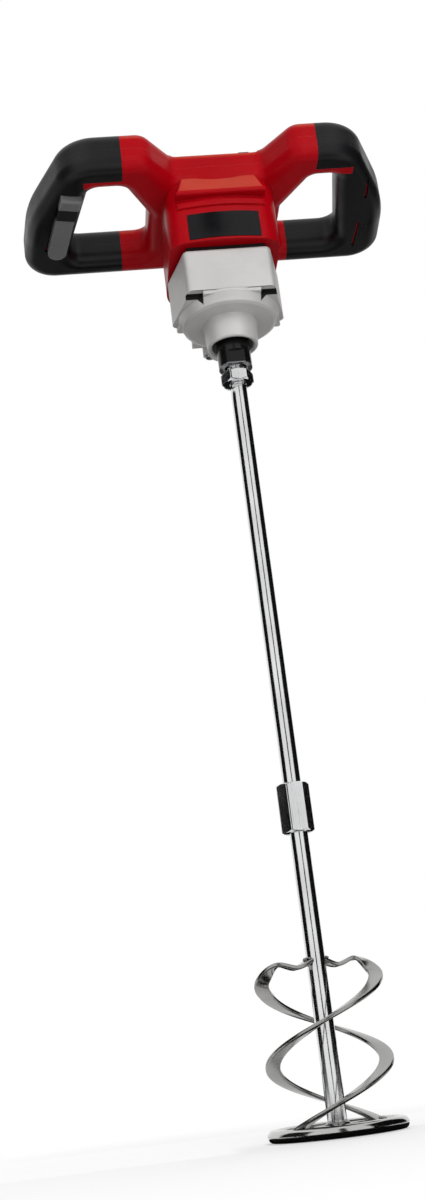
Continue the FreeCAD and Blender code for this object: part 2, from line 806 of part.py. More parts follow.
def lead(places):
    """A lead of one radius along straight runs joined by tangent arcs."""
    edges = []
    start = places[0]
    for before, corner, after in zip(places, places[1:], places[2:]):
        back = (before - corner).normalize()
        ahead = (after - corner).normalize()
        half = back.getAngle(ahead) / 2
        room = min((before - corner).Length, (after - corner).Length) * value("lead_reach_share")
        radius = min(value("lead_bend"), room * math.tan(half))
        reach = radius / math.tan(half)
        inner = corner + (back + ahead).normalize() * (radius / math.sin(half) - radius)
        edges.append(Part.LineSegment(start, corner + back * reach).toShape())
        edges.append(Part.Arc(corner + back * reach, inner, corner + ahead * reach).toShape())
        start = corner + ahead * reach
    edges.append(Part.LineSegment(start, places[-1]).toShape())
    path = Part.Wire(edges)
    section = Part.Wire(Part.Circle(places[0], places[1] - places[0], value("lead_radius")).toShape())
    return path.makePipeShell([section], True, False)


# Housing: barrel, hood, belt and loops in one moulding, split at the loops' middle into two halves.

LOOP_FLOOR = "loop_middle - loop_height / 2"
LOOP_TOP = "loop_middle + loop_height / 2"
CAVITY_FLOOR = "loop_middle - loop_height / 2 + grip_skin + loop_wall"
FAR = "left_rear_corner + right_rear_corner"

outer_slab = loop_slab("0", "loop_edge")
inner_slab = loop_slab("grip_skin", "loop_edge - grip_skin")
hollow_slab = loop_slab("grip_skin + loop_wall", "cavity_edge")

hood_low = [point(x, y, "hood_ledge") for x, y in (
    ("-hood_half", "-hood_front"), ("hood_half", "-hood_front"), ("hood_half", "-hood_back"),
    ("-hood_half", "-hood_back"))]
hood_high = [point(x, y, "hood_top") for x, y in (
    ("-hood_top_half", "-hood_top_front"), ("hood_top_half", "-hood_top_front"),
    ("hood_top_half", "-hood_back"), ("-hood_top_half", "-hood_back"))]
hood = Part.makeLoft([Part.makePolygon(rim + rim[:1]) for rim in (hood_low, hood_high)], True, True)
hood = hood.makeFillet(value("hood_round"), [
    edge for edge in hood.Edges if edge.BoundBox.YMax < value("-hood_back - overrun")])
FRONT = ("-loop_rear", "0", "0", "loop_middle")
belt = barrel_block("belt_proud", "belt_bottom", "belt_height")
belt = belt.common(block("-belt_half", "belt_half", *FRONT))
belt = belt.makeFillet(value("belt_round"), [
    edge for edge in belt.Edges
    if edge.BoundBox.XLength > value("belt_round") and edge.BoundBox.YMin < value("-overrun")])
barrel = barrel_block("0", "barrel_floor", "loop_middle - barrel_floor")
mass = joined([outer_slab, barrel, hood, belt])
ABOVE = LOOP_TOP + " + overrun"
mass = mass.cut(block("-saddle_half", "saddle_half", "-loop_rear", "deck_rear", "deck_height", ABOVE))

room = hollow_slab.cut(block("-saddle_half - deck_thickness", "saddle_half + deck_thickness", "-loop_rear",
                             "deck_rear + deck_thickness", "under_deck", ABOVE))
barrel_room = barrel_block("-barrel_wall", "barrel_floor + floor_thickness",
                           "under_deck - barrel_floor - floor_thickness")
room = joined([room, barrel_room])
shell = mass.cut(room)

# The soft skin covers the loops beyond the grip lines, but leaves a strip of the moulding bare along the
# inner edge of each front bar and along the lower rear edge.
skin = outer_slab.cut(inner_slab)
NEAR = "-(" + FAR + ")"
DEPTH = ("-loop_rear - overrun", "loop_rear + overrun")
lower_half = block(NEAR, FAR, *DEPTH, "0", "loop_middle")
upper_half = block(NEAR, FAR, *DEPTH, "loop_middle", ABOVE)
left_side = block(NEAR, "-left_grip_start", *DEPTH, "0", ABOVE)
right_side = joined([block("right_grip_start", FAR, *DEPTH, "0", ABOVE),
                     block("right_rear_grip_start", FAR, "0", "loop_rear + overrun", "0", ABOVE)])
bare = [block(low, high, "-gap_front - strip_depth", "-gap_front - strip_lip", "0", "loop_middle")
        for low, high in (("-left_grip_start - strip_length", "-left_grip_start + overrun"),
                          ("right_grip_start - overrun", "right_grip_start + strip_length"))]
bare.append(block(NEAR, FAR, "loop_rear - rear_strip_depth", "loop_rear + overrun", "0",
                  LOOP_FLOOR + " + rear_strip_height"))
lower_skin = skin.common(lower_half).cut(bare[0]).cut(bare[1]).cut(bare[2])
upper_skin = skin.common(upper_half)
inlay_zone = block("inlay_inner", FAR, "inlay_front", "inlay_front + inlay_length", LOOP_FLOOR + " - overrun",
                   "loop_middle + inlay_drop")
inlay = skin.common(inlay_zone)
grooves = [block("groove_centre - groove_width / 2", "groove_centre + groove_width / 2",
                 f"{place} - groove_length / 2", f"{place} + groove_length / 2", LOOP_FLOOR + " - overrun",
                 LOOP_FLOOR + " + grip_skin * 2") for place in ("-groove_front_place", "groove_rear_place")]
grips = {
    "left_grip_lower": lower_skin.common(left_side),
    "left_grip_upper": upper_skin.common(left_side),
    "right_grip_lower": lower_skin.common(right_side).cut(inlay_zone),
    "right_grip_upper": upper_skin.common(right_side).cut(inlay_zone),
}
for skin_part in list(grips.values()) + [inlay]:
    shell = shell.cut(skin_part.copy())
for groove in grooves:
    grips["right_grip_lower"] = grips["right_grip_lower"].cut(groove)

# Screw bosses stand on the inside of both halves, and the screws go in from above.
SCREWS = [
    ("-screw_bare_place", "-screw_front_place"), ("screw_bare_place", "-screw_front_place"),
    ("-screw_bare_place", "screw_rear_place"), ("screw_bare_place", "screw_rear_place"),
    ("-screw_left_outer", "screw_corner_rear"), ("screw_right_outer", "screw_corner_rear"),
    ("-screw_left_corner", "-screw_corner_front"), ("screw_right_corner", "-screw_corner_front"),
]
SINK_DEPTH = "housing_screw_sink + housing_screw_head_height"
HEAD_SEAT = f"{LOOP_TOP} - ({SINK_DEPTH})"
boss_height = "loop_height - 2 * (grip_skin + loop_wall)"
bosses = [drum("boss_radius", CAVITY_FLOOR, boss_height, x, y).common(inner_slab.copy()) for x, y in SCREWS]
shell = joined([shell] + bosses)
for x, y in SCREWS:
    sink = drum("housing_screw_head + moving_gap", HEAD_SEAT, SINK_DEPTH + " + overrun", x, y)
    hole = drum("housing_screw_radius + running_gap", HEAD_SEAT + " - housing_screw_length - seat_gap",
                f"housing_screw_length + {SINK_DEPTH} + seat_gap", x, y)
    shell = shell.cut(sink).cut(hole)
    for name in ("left_grip_upper", "right_grip_upper"):
        grips[name] = grips[name].cut(sink)

# Openings of the lower half: trigger slot and pin hole, label pocket, vents and the holes over the gear case.
TRIGGER_AT = FreeCAD.Placement(point("trigger_x", "trigger_y", LOOP_FLOOR),
                               FreeCAD.Rotation(FreeCAD.Vector(0, 0, 1), value("trigger_turn")))
trigger_slot = block("-slot_half", "slot_half", "-slot_front", "slot_rear", "-overrun",
                     "grip_skin + loop_wall + overrun")
flange_room = block("-button_flange - moving_gap", "button_flange + moving_gap",
                    "-slot_front", "-button_rear",
                    "grip_skin + loop_wall",
                    "grip_skin + loop_wall + button_flange_height + button_travel + 2 * moving_gap")
for cutter in (trigger_slot, flange_room):
    cutter.Placement = TRIGGER_AT.multiply(cutter.Placement)
pin_hole = Part.makeCylinder(value("pin_radius + running_gap"), value("2 * pin_half"),
                             point("-pin_half", "pivot_place", "pivot_height"), FreeCAD.Vector(1, 0, 0))
pin_hole.Placement = TRIGGER_AT.multiply(pin_hole.Placement)
LABEL_SEAT = "label_proud - label_thickness"
label_core = barrel_block(LABEL_SEAT, "0", "loop_middle")
label_room = barrel_block("overrun", "label_bottom - seat_gap", "label_height + 2 * seat_gap")
label_span = block("-label_half - seat_gap", "label_half + seat_gap", *FRONT)
label_room = label_room.cut(label_core).common(label_span)
lower_shell = shell.common(lower_half)
upper_shell = shell.common(upper_half)
cuts = [trigger_slot, flange_room, pin_hole, label_room]
VENT_REAR = ("barrel_rear - barrel_wall - overrun", "loop_rear")
for step in range(round(value("vent_count"))):
    centre = f"({step} - (vent_count - 1) / 2) * vent_pitch"
    cuts.append(block(f"{centre} - vent_width / 2", f"{centre} + vent_width / 2", *VENT_REAR,
                      "vent_bottom", "vent_bottom + vent_height"))


def mirrored(places):
    """Places on both sides of the middle plane, from those on the right."""
    return [(side + x, y) for x, y in places for side in ("-", "")]


PLATE_SCREWS = mirrored([("plate_screw_front_half", "-plate_screw_front_place"),
                         ("plate_screw_rear_half", "plate_screw_rear_place")])
FLOOR_HOLES = [("lay_shaft_radius + overrun", "shaft_y"), ("motor_boss_radius + moving_gap", "motor_y")]
THROUGH_FLOOR = ("barrel_floor - overrun", "floor_thickness + 2 * overrun")
for radius, y in FLOOR_HOLES:
    cuts.append(drum(radius, *THROUGH_FLOOR, "0", y))
for x, y in PLATE_SCREWS:
    cuts.append(drum("case_screw_radius + seat_gap", *THROUGH_FLOOR, x, y))
for cut in cuts:
    lower_shell = lower_shell.cut(cut)
grips["left_grip_lower"] = grips["left_grip_lower"].cut(trigger_slot)

solid("lower_housing", lower_shell)
solid("upper_housing", upper_shell)
for name, shape in grips.items():
    solid(name, shape)
solid("grip_inlay", inlay)
solid("housing_screws", Part.makeCompound([
    screw(x, y, HEAD_SEAT, "housing_screw_radius", "housing_screw_length", "housing_screw_head",
          "housing_screw_head_height") for x, y in SCREWS]))

label = barrel_block("label_proud", "label_bottom", "label_height")
label = label.cut(barrel_block(LABEL_SEAT + " + seat_gap", "0", "loop_middle"))
label = label.common(block("-label_half", "label_half", *FRONT))
solid("label_plate", label.makeFillet(value("label_round"), [
    edge for edge in label.Edges if edge.Length < value("label_thickness * 2")]))

# Battery foot: a base on the deck with two lipped rails, and a contact block with blades between them.
foot = new_body("battery_foot")
pad(foot, rectangle(plan(foot, "deck_height"), "-foot_half", "foot_half", "-foot_front", "foot_rear"),
    "foot_base")
RAIL_FLOOR = "deck_height + foot_base"
for side, front in (("-1", "-foot_front + rail_left_setback"), ("1", "-foot_front")):
    stem = plan(foot, RAIL_FLOOR)
    rectangle(stem, f"{side} * rail_place - rail_stem / 2", f"{side} * rail_place + rail_stem / 2",
              front, "foot_rear")
    pad(foot, stem, "rail_height")
    lip = plan(foot, RAIL_FLOOR + " + rail_height - rail_lip_height")
    rectangle(lip, f"{side} * rail_place - rail_stem / 2 - rail_lip / 2",
              f"{side} * rail_place + rail_stem / 2 + rail_lip / 2", front, "foot_rear")
    pad(foot, lip, "rail_lip_height")
pad(foot, rectangle(plan(foot, RAIL_FLOOR), "-contact_block_half", "contact_block_half",
                    "contact_block_front", "contact_block_rear"), "contact_block_height")
blades = []
for side in (-1, 0, 1):
    blades.append(block(f"{side} * blade_place - blade_thickness / 2",
                        f"{side} * blade_place + blade_thickness / 2",
                        "contact_block_front - blade_length", "contact_block_front",
                        RAIL_FLOOR, RAIL_FLOOR + " + blade_width"))
solid("battery_contacts", Part.makeCompound(blades))

# Gear case: a cast box with a round base for the output gear and a tail for the intermediate shaft.
case = new_body("gearbox_case")
CASE_PLAN = [("-case_front_half", "-case_front"), ("case_front_half", "-case_front"),
             ("case_rear_half", "case_shoulder"), ("-case_rear_half", "case_shoulder")]
pad(case, corners(plan(case, "case_bottom"), CASE_PLAN), "case_top - case_bottom")
round_edges(case, "case_round", is_upright)
round_edges(case, "case_round / 2", lambda edge: is_level(edge, value("case_top")) and edge.BoundBox.YMin < 0)
pad(case, circle(plan(case, "case_bottom"), "case_base_radius"), "case_base_top - case_bottom")
flush = plan(case, "case_base_top")
rectangle(flush, "-case_front_half", "case_front_half", "-case_base_radius - overrun", "-case_front")
pocket(case, flush, "case_base_top - case_bottom - base_lip")
pad(case, rectangle(plan(case, "tail_bottom"), "-case_tail_half", "case_tail_half", "0",
                    "case_tail_rear"), "case_top - tail_bottom")
pad(case, circle(plan(case, "case_bottom"), "pinion_room_radius + pinion_wall", "0", "shaft_y"),
    "tail_bottom - case_bottom + pinion_wall")
pocket(case, circle(plan(case, "gear_room_top"), "gear_room_radius"), "gear_room_top - case_bottom")
pocket(case, circle(plan(case, "gear_room_top + upper_bearing_width"), "upper_bearing_radius"),
       "upper_bearing_width + overrun")
pocket(case, circle(plan(case, "upper_room_bottom + overrun"), "pinion_room_radius", "0", "shaft_y"),
       "upper_room_bottom + overrun - case_bottom")
pocket(case, circle(plan(case, "case_top"), "upper_room_radius", "0", "shaft_y"),
       "case_top - upper_room_bottom")
pocket(case, circle(plan(case, "case_top"), "motor_room_radius", "0", "motor_y"),
       "case_top - upper_room_bottom")
SCREW_DEPTH = "motor_plate_screw_length - plate_top + case_top + seat_gap"
for x, y in PLATE_SCREWS:
    pocket(case, circle(plan(case, "case_top"), "case_screw_radius + running_gap", x, y), SCREW_DEPTH)
COVER_SCREWS = mirrored([("cover_screw_half", "cover_screw_place")])
for x, y in COVER_SCREWS:
    pad(case, circle(plan(case, "case_bottom"), "cover_lug_radius", x, y),
        "tail_bottom - case_bottom + pinion_wall")
    pocket(case, circle(plan(case, "case_bottom + case_screw_length"),
                        "case_screw_radius + running_gap", x, y), "case_screw_length")
for low, high in (("-case_front_half - overrun", "-case_front_half + notch_width"),
                  ("case_front_half - notch_width", "case_front_half + overrun")):
    notch = plan(case, "case_bottom + notch_height")
    rectangle(notch, low, high, "-case_front - overrun", "-case_front + notch_depth")
    pocket(case, notch, "notch_height")

# Gear cover: the round pan under the output gear, its flange and rear screw lugs, and the neck.
cover = turned("gear_cover", [
    ("neck_mouth_radius + neck_mouth_chamfer", "0"), ("neck_radius - rim_chamfer", "0"),
    ("neck_radius", "rim_chamfer"), ("neck_radius + neck_draft", "neck_length"),
    ("cover_radius - cover_round", "neck_length"),
    ("cover_radius - cover_round * cover_round_share", "neck_length + cover_round * cover_round_share"),
    ("cover_radius", "neck_length + cover_round"),
    ("case_base_radius", "case_bottom"), ("gear_room_radius", "case_bottom"),
    ("gear_room_radius", "cover_floor"), ("lower_bearing_radius", "cover_floor"),
    ("lower_bearing_radius", "lower_bearing_bottom"), ("neck_mouth_radius", "lower_bearing_bottom"),
    ("neck_mouth_radius", "neck_mouth_chamfer")])
flange = plan(cover, "case_bottom - cover_flange")
corners(flange, [
    ("-flange_half + flange_inset", "-flange_front"), ("flange_half - flange_inset", "-flange_front"),
    ("case_rear_half - flange_inset", "case_shoulder"), ("-case_rear_half + flange_inset", "case_shoulder")])
pad(cover, flange, "cover_flange")
round_edges(cover, "case_round / 2", lambda edge: is_upright(edge) and edge.BoundBox.YMin > 0 and math.hypot(
    edge.BoundBox.XMin, edge.BoundBox.YMin) > value("case_base_radius"))
for x, y in COVER_SCREWS:
    pad(cover, circle(plan(cover, "case_bottom - cover_flange"), "cover_lug_radius", x, y), "cover_flange")
pad(cover, circle(plan(cover, "bush_room_bottom"), "pinion_room_radius + pinion_wall", "0", "shaft_y"),
    "case_bottom - bush_room_bottom")
pocket(cover, circle(plan(cover, "case_bottom"), "gear_room_radius"), "case_bottom - cover_floor")
pocket(cover, circle(plan(cover, "case_bottom"), "pinion_room_radius", "0", "shaft_y"),
       "case_bottom - output_gear_bottom + moving_gap")
pocket(cover, circle(plan(cover, "output_gear_bottom"), "bush_radius", "0", "shaft_y"),
       "lower_bush_height + moving_gap")
for x, y in COVER_SCREWS:
    pocket(cover, circle(plan(cover, "case_bottom"), "case_screw_radius + running_gap", x, y),
           "cover_flange")
    pocket(cover, circle(plan(cover, "case_bottom - cover_flange"), "case_screw_head + moving_gap",
                         x, y), "case_screw_head_height")
solid("cover_screws", Part.makeCompound([
    screw(x, y, "case_bottom - cover_flange", "case_screw_radius", "case_screw_length", "case_screw_head",
          "case_screw_head_height", down=False) for x, y in COVER_SCREWS]))

# Gasket between the gear case and the floor of the housing.
gasket = new_body("gearbox_gasket")
gasket_face = plan(gasket, "case_top")
corners(gasket_face, [
    ("-case_front_half + gasket_inset", "-case_front + gasket_inset"),
    ("case_front_half - gasket_inset", "-case_front + gasket_inset"),
    ("case_rear_half - gasket_inset * 2", "case_shoulder - gasket_inset"),
    ("case_tail_half", "case_shoulder"), ("case_tail_half", "barrel_rear - gasket_inset"),
    ("-case_tail_half", "barrel_rear - gasket_inset"), ("-case_tail_half", "case_shoulder"),
    ("-case_rear_half + gasket_inset * 2", "case_shoulder - gasket_inset")])
for radius, y in FLOOR_HOLES:
    circle(gasket_face, radius, "0", y)
for x, y in PLATE_SCREWS:
    circle(gasket_face, "case_screw_radius + seat_gap", x, y)
pad(gasket, gasket_face, "barrel_floor - case_top")

# Gear train: output gear on the spindle, intermediate shaft with its own pinion, motor pinion.
quarter = math.pi / 2
gear("output_gear", "output_teeth", "slow_module", quarter, "output_gear_bottom", "output_gear_width",
     "journal_radius", "0")
gear("layshaft_gear", "lay_gear_teeth", "fast_module", -quarter, "lay_gear_bottom", "lay_gear_width",
     "lay_shaft_radius", "shaft_y")
gear("motor_pinion", "motor_pinion_teeth", "fast_module", quarter + math.pi / value("motor_pinion_teeth"),
     "motor_pinion_bottom", "motor_pinion_width", "motor_shaft_radius", "motor_y")
shaft_teeth = gear_face("lay_pinion_teeth", "slow_module", math.pi / value("lay_pinion_teeth") - quarter)
shaft_pinion = prism(shaft_teeth, value("output_gear_bottom"), value("output_gear_width"))
shaft_pinion.translate(point("0", "shaft_y", "0"))
shaft_bar = drum("lay_shaft_radius", "output_gear_bottom - lower_bush_height",
                 "plate_top - output_gear_bottom + lower_bush_height", "0", "shaft_y")
solid("layshaft", shaft_bar.fuse(shaft_pinion).removeSplitter())
solid("layshaft_bushes", Part.makeCompound([
    drum("bush_radius", bottom, height, "0", "shaft_y").cut(
        drum("lay_shaft_radius + running_gap", "0", "deck_height", "0", "shaft_y"))
    for bottom, height in (("output_gear_bottom - lower_bush_height - moving_gap", "lower_bush_height"),
                           ("plate_floor", "motor_plate_thickness"))]))

# Spindle with two spanner flats and a threaded socket, and what carries it.
JOURNAL_TOP = "output_gear_bottom + output_gear_width + clip_width"
spindle = turned("spindle", [
    ("0", "-spindle_reach + thread_depth"), ("rod_radius + running_gap", "-spindle_reach + thread_depth"),
    ("rod_radius + running_gap", "-spindle_reach + socket_chamfer"),
    ("rod_radius + socket_chamfer", "-spindle_reach"), ("spindle_radius", "-spindle_reach"),
    ("spindle_radius", "spindle_shoulder"), ("journal_radius", "spindle_shoulder"),
    ("journal_radius", JOURNAL_TOP), ("upper_journal_radius", JOURNAL_TOP),
    ("upper_journal_radius", "gear_room_top + upper_bearing_width"),
    ("0", "gear_room_top + upper_bearing_width")])
flats = plan(spindle, "-spindle_reach + spindle_flats_length")
FLAT_ACROSS = ("-spindle_radius - overrun", "spindle_radius + overrun")
rectangle(flats, *FLAT_ACROSS, "spindle_flats / 2", "spindle_radius + overrun")
rectangle(flats, *FLAT_ACROSS, "-spindle_radius - overrun", "-spindle_flats / 2")
pocket(spindle, flats, "spindle_flats_length")
ring("spindle_bearing_lower", "journal_radius + running_gap", "lower_bearing_radius", "lower_bearing_bottom",
     "lower_bearing_width")
ring("spindle_bearing_upper", "upper_journal_radius + running_gap", "upper_bearing_radius", "gear_room_top",
     "upper_bearing_width")
ring("spindle_seal", "spindle_radius + running_gap", "neck_mouth_radius", "seal_bottom + neck_mouth_chamfer",
     "seal_width - neck_mouth_chamfer")
ring("retaining_ring", "journal_radius", "clip_radius", "output_gear_bottom + output_gear_width",
     "clip_width")

# Motor: a steel can on a plate, with magnets, armature, commutator and brushes.
motor_plate = new_body("motor_plate")
plate_face = circle(plan(motor_plate, "plate_floor"), "motor_plate_radius", "0", "motor_plate_centre")
circle(plate_face, "motor_boss_radius + seat_gap", "0", "motor_y")
circle(plate_face, "bush_radius", "0", "shaft_y")
for x, y in PLATE_SCREWS:
    circle(plate_face, "case_screw_radius + seat_gap", x, y)
MOTOR_SCREWS = [("-motor_screw_place", "motor_y"), ("motor_screw_place", "motor_y")]
for x, y in MOTOR_SCREWS:
    circle(plate_face, "motor_screw_radius + running_gap", x, y)
pad(motor_plate, plate_face, "motor_plate_thickness")
solid("case_screws", Part.makeCompound([
    screw(x, y, "plate_top", "case_screw_radius", "motor_plate_screw_length", "case_screw_head",
          "case_screw_head_height") for x, y in PLATE_SCREWS]))
BOSS_FLOOR = "plate_top - motor_boss_drop"
can = turned("motor_can", [
    ("motor_bearing_radius", BOSS_FLOOR), ("motor_boss_radius", BOSS_FLOOR),
    ("motor_boss_radius", "plate_top"),
    ("motor_radius", "plate_top"), ("motor_radius", "can_top"), ("motor_radius - motor_wall", "can_top"),
    ("motor_radius - motor_wall", "plate_top + motor_wall"),
    ("motor_shaft_radius * 2", "plate_top + motor_wall"),
    ("motor_shaft_radius * 2", BOSS_FLOOR + " + motor_bearing_width"),
    ("motor_bearing_radius", BOSS_FLOOR + " + motor_bearing_width")], "0", "motor_y")
for x, y in MOTOR_SCREWS:
    pocket(can, circle(plan(can, "plate_top + motor_wall + seat_gap"),
                       "motor_screw_radius + running_gap", x, "0"), "motor_wall + seat_gap * 2")
SCREW_SEAT = "plate_top + motor_wall"
solid("motor_screws", Part.makeCompound([
    screw(x, y, SCREW_SEAT, "motor_screw_radius", "motor_wall + motor_plate_thickness", "motor_screw_head",
          "motor_screw_head_height") for x, y in MOTOR_SCREWS]))
magnets = []
for start in (0, 180):
    profile = block("magnet_inner", "motor_radius - motor_wall", "0", "overrun", "magnet_bottom",
                    "magnet_bottom + magnet_length")
    face = next(side for side in profile.Faces if side.BoundBox.YMax < value("overrun") / 2)
    arc = face.revolve(FreeCAD.Vector(0, 0, 0), FreeCAD.Vector(0, 0, 1), value("magnet_angle"))
    arc.rotate(FreeCAD.Vector(0, 0, 0), FreeCAD.Vector(0, 0, 1), start + 90 - value("magnet_angle") / 2)
    arc.translate(point("0", "motor_y", "0"))
    magnets.append(arc)
solid("motor_magnets", Part.makeCompound(magnets))

CORE_TOP = "core_bottom + core_length"
END_TOP = "can_top + end_cap_thickness"
core = ring("armature_core", "motor_shaft_radius", "core_radius", "core_bottom", "core_length",
            "0", "motor_y")
slot = plan(core, CORE_TOP)
rectangle(slot, "core_radius - slot_depth", "core_radius + overrun", "-slot_width / 2", "slot_width / 2")
slot_cut = pocket(core, slot, "core_length")
slots = core.newObject("PartDesign::PolarPattern", "core_slots")
slots.Originals = [slot_cut]
slots.Axis = (slot, ["N_Axis"])
slots.Angle = 360.0
slots.setExpression("Occurrences", tied("slot_count"))
core.Tip = slots
windings = []
for bottom in ("core_bottom - winding_height", CORE_TOP):
    coil = drum("winding_radius", bottom, "winding_height", "0", "motor_y")
    windings.append(coil.cut(drum("winding_inner", bottom, "winding_height", "0", "motor_y")))
solid("armature_windings", Part.makeCompound(windings))
fan = ring("motor_fan", "motor_shaft_radius", "fan_hub", "fan_bottom", "fan_height", "0", "motor_y")
blade = plan(fan, "fan_bottom")
rectangle(blade, "fan_hub - fan_blade", "fan_radius", "-fan_blade / 2", "fan_blade / 2")
blade_pad = pad(fan, blade, "fan_height")
blade_set = fan.newObject("PartDesign::PolarPattern", "fan_set")
blade_set.Originals = [blade_pad]
blade_set.Axis = (blade, ["N_Axis"])
blade_set.Angle = 360.0
blade_set.setExpression("Occurrences", tied("fan_blades"))
fan.Tip = blade_set
ring("commutator", "motor_shaft_radius", "commutator_radius", "commutator_bottom", "commutator_length",
     "0", "motor_y")
turned("armature_shaft", [
    ("0", "motor_pinion_bottom"), ("motor_shaft_radius", "motor_pinion_bottom"),
    ("motor_shaft_radius", END_TOP + " + end_cap_boss - end_cap_thickness"),
    ("0", END_TOP + " + end_cap_boss - end_cap_thickness")], "0", "motor_y")
BEARING_TOP = END_TOP + " + end_cap_boss - end_cap_thickness"
solid("motor_bearings", Part.makeCompound([
    drum("motor_bearing_radius", bottom, "motor_bearing_width", "0", "motor_y").cut(
        drum("motor_shaft_radius + running_gap", "0", "deck_height", "0", "motor_y"))
    for bottom in (BOSS_FLOOR, BEARING_TOP + " - motor_bearing_width")]))
end_cap = turned("motor_end_cap", [
    ("brush_ring_inner", "can_top - brush_ring_height"),
    ("motor_radius - motor_wall - seat_gap", "can_top - brush_ring_height"),
    ("motor_radius - motor_wall - seat_gap", "can_top"), ("motor_radius", "can_top"),
    ("motor_radius", END_TOP),
    ("motor_boss_radius", END_TOP), ("motor_boss_radius", END_TOP + " + end_cap_boss"),
    ("motor_shaft_radius + moving_gap", END_TOP + " + end_cap_boss"),
    ("motor_shaft_radius + moving_gap", BEARING_TOP), ("motor_bearing_radius", BEARING_TOP),
    ("motor_bearing_radius", BEARING_TOP + " - motor_bearing_width"),
    ("brush_ring_inner", BEARING_TOP + " - motor_bearing_width")], "0", "motor_y")
brush_room = plan(end_cap, "brush_bottom + brush_height")
for low, high in (("-brush_outer", "-brush_ring_inner + overrun"),
                  ("brush_ring_inner - overrun", "brush_outer")):
    rectangle(brush_room, low, high, "-brush_half", "brush_half")
pocket(end_cap, brush_room, "brush_height")
brushes = []
for low, high in (("-brush_outer", "-commutator_radius - moving_gap"),
                  ("commutator_radius + moving_gap", "brush_outer")):
    brushes.append(block(low, high, "motor_y - brush_half", "motor_y + brush_half", "brush_bottom",
                         "brush_bottom + brush_height"))
solid("carbon_brushes", Part.makeCompound(brushes))

# Control board on the motor plate, with its heat sink and the leads to motor, battery and switch.
board = new_body("control_board")
pad(board, rectangle(plan(board, "plate_top"), "-board_half", "board_half", "-board_front",
                     "-board_front + board_thickness"), "board_height")
SINK_BACK = "-board_front + board_thickness"
sink = new_body("board_heatsink")
pad(sink, rectangle(plan(sink, "plate_top + sink_lift"), "-sink_half", "sink_half", SINK_BACK,
                    SINK_BACK + " + sink_base"), "sink_height")
fins = plan(sink, "plate_top + sink_lift")
for step in range(round(value("sink_fins"))):
    centre = f"({step} * 2 / (sink_fins - 1) - 1) * (sink_half - sink_fin_width / 2)"
    rectangle(fins, f"{centre} - sink_fin_width / 2", f"{centre} + sink_fin_width / 2",
              SINK_BACK + " + sink_base", SINK_BACK + " + sink_base + sink_fin")
pad(sink, fins, "sink_height")
BOARD_TOP = "plate_top + board_height"
BOARD_LINE = "-board_front + board_thickness / 2"
LEAD_TOP = END_TOP + " + lead_radius + seat_gap"
motor_leads = []
power_leads = []
for side in ("-", ""):
    x = side + "motor_lead_half"
    motor_leads.append(lead([
        point(x, "motor_y - motor_radius / 2", LEAD_TOP), point(x, "-board_front / 2", LEAD_TOP),
        point(x, BOARD_LINE, BOARD_TOP + " + lead_bend * 2"), point(x, BOARD_LINE, BOARD_TOP)]))
    x = side + "power_lead_half"
    power_leads.append(lead([
        point(x, "-foot_front / 2", "deck_height"), point(x, "-foot_front / 2", "under_deck - lead_bend"),
        point(x, BOARD_LINE, BOARD_TOP + " + lead_bend * 2"), point(x, BOARD_LINE, BOARD_TOP)]))
solid("motor_leads", Part.makeCompound(motor_leads))
solid("power_leads", Part.makeCompound(power_leads))
upper = next(part for part in PARTS if part.Label == "upper_housing")
lead_hole = [drum("lead_radius + running_gap", "under_deck - overrun", "deck_thickness + 2 * overrun",
                  side + "power_lead_half", "-foot_front / 2") for side in ("-", "")]
upper.Shape = upper.Shape.cut(lead_hole[0]).cut(lead_hole[1])

# Trigger group, drawn along the left outer bar: x across the bar, y towards the rear, z up from its floor.
GROUP = dict(x="trigger_x", y="trigger_y", z=LOOP_FLOOR, turn="trigger_turn")
WALL_TOP = "grip_skin + loop_wall"
trigger = new_body("trigger", **GROUP)
lever = sketch_on(trigger, "YZ_Plane")
corners(lever, [("-trigger_front", "pivot_height + pin_radius * 2"),
                ("-trigger_front", "-trigger_drop_front"), ("trigger_length", "-trigger_drop_rear"),
                ("trigger_length", "-trigger_drop_rear + trigger_thickness"),
                ("pivot_place + pin_radius * 3", "-trigger_drop_front + trigger_thickness"),
                ("pivot_place + pin_radius * 3", "pivot_height + pin_radius * 2")])
pad(trigger, lever, "2 * trigger_half", midplane=True)
round_edges(trigger, "trigger_half - seat_gap", lambda edge: is_upright(edge) and edge.BoundBox.ZMax < 0)
bearing_hole = circle(sketch_on(trigger, "YZ_Plane", "trigger_half"), "pin_radius + running_gap",
                      "pivot_place", "pivot_height")
pocket(trigger, bearing_hole, "2 * trigger_half")
pin = new_body("trigger_pin", **GROUP)
pad(pin, circle(sketch_on(pin, "YZ_Plane"), "pin_radius", "pivot_place", "pivot_height"), "2 * pin_half",
    midplane=True)
button = new_body("lock_button", **GROUP)
pad(button, rectangle(plan(button, "-button_drop"), "-slot_half + button_play", "slot_half - button_play",
                      "-button_front", "-button_rear"), WALL_TOP + " + button_drop + moving_gap")
pad(button, rectangle(plan(button, WALL_TOP + " + moving_gap"), "-button_flange", "button_flange",
                      "-button_front", "-button_rear"), "button_flange_height")
guard = new_body("switch_guard", **GROUP)
pad(guard, rectangle(plan(guard, "-guard_drop"), "-slot_half", "slot_half", "-guard_front",
                     "-guard_rear"), WALL_TOP + " + guard_drop")
round_edges(guard, "guard_round", lambda edge: is_level(edge, value("-guard_drop")))
pad(guard, rectangle(plan(guard, WALL_TOP), "-button_flange", "button_flange", "-guard_front",
                     "-guard_rear"), "button_flange_height")
switch = new_body("switch_body", **GROUP)
ROOF = "loop_height - grip_skin - loop_wall"
pad(switch, rectangle(plan(switch, "switch_bottom"), "-switch_half", "switch_half", "switch_front",
                      "switch_rear"), ROOF + " - cavity_edge - switch_bottom")
pad(switch, rectangle(plan(switch, ROOF + " - cavity_edge"), "-switch_pad_half", "switch_pad_half",
                      "switch_front", "switch_rear"), "cavity_edge")
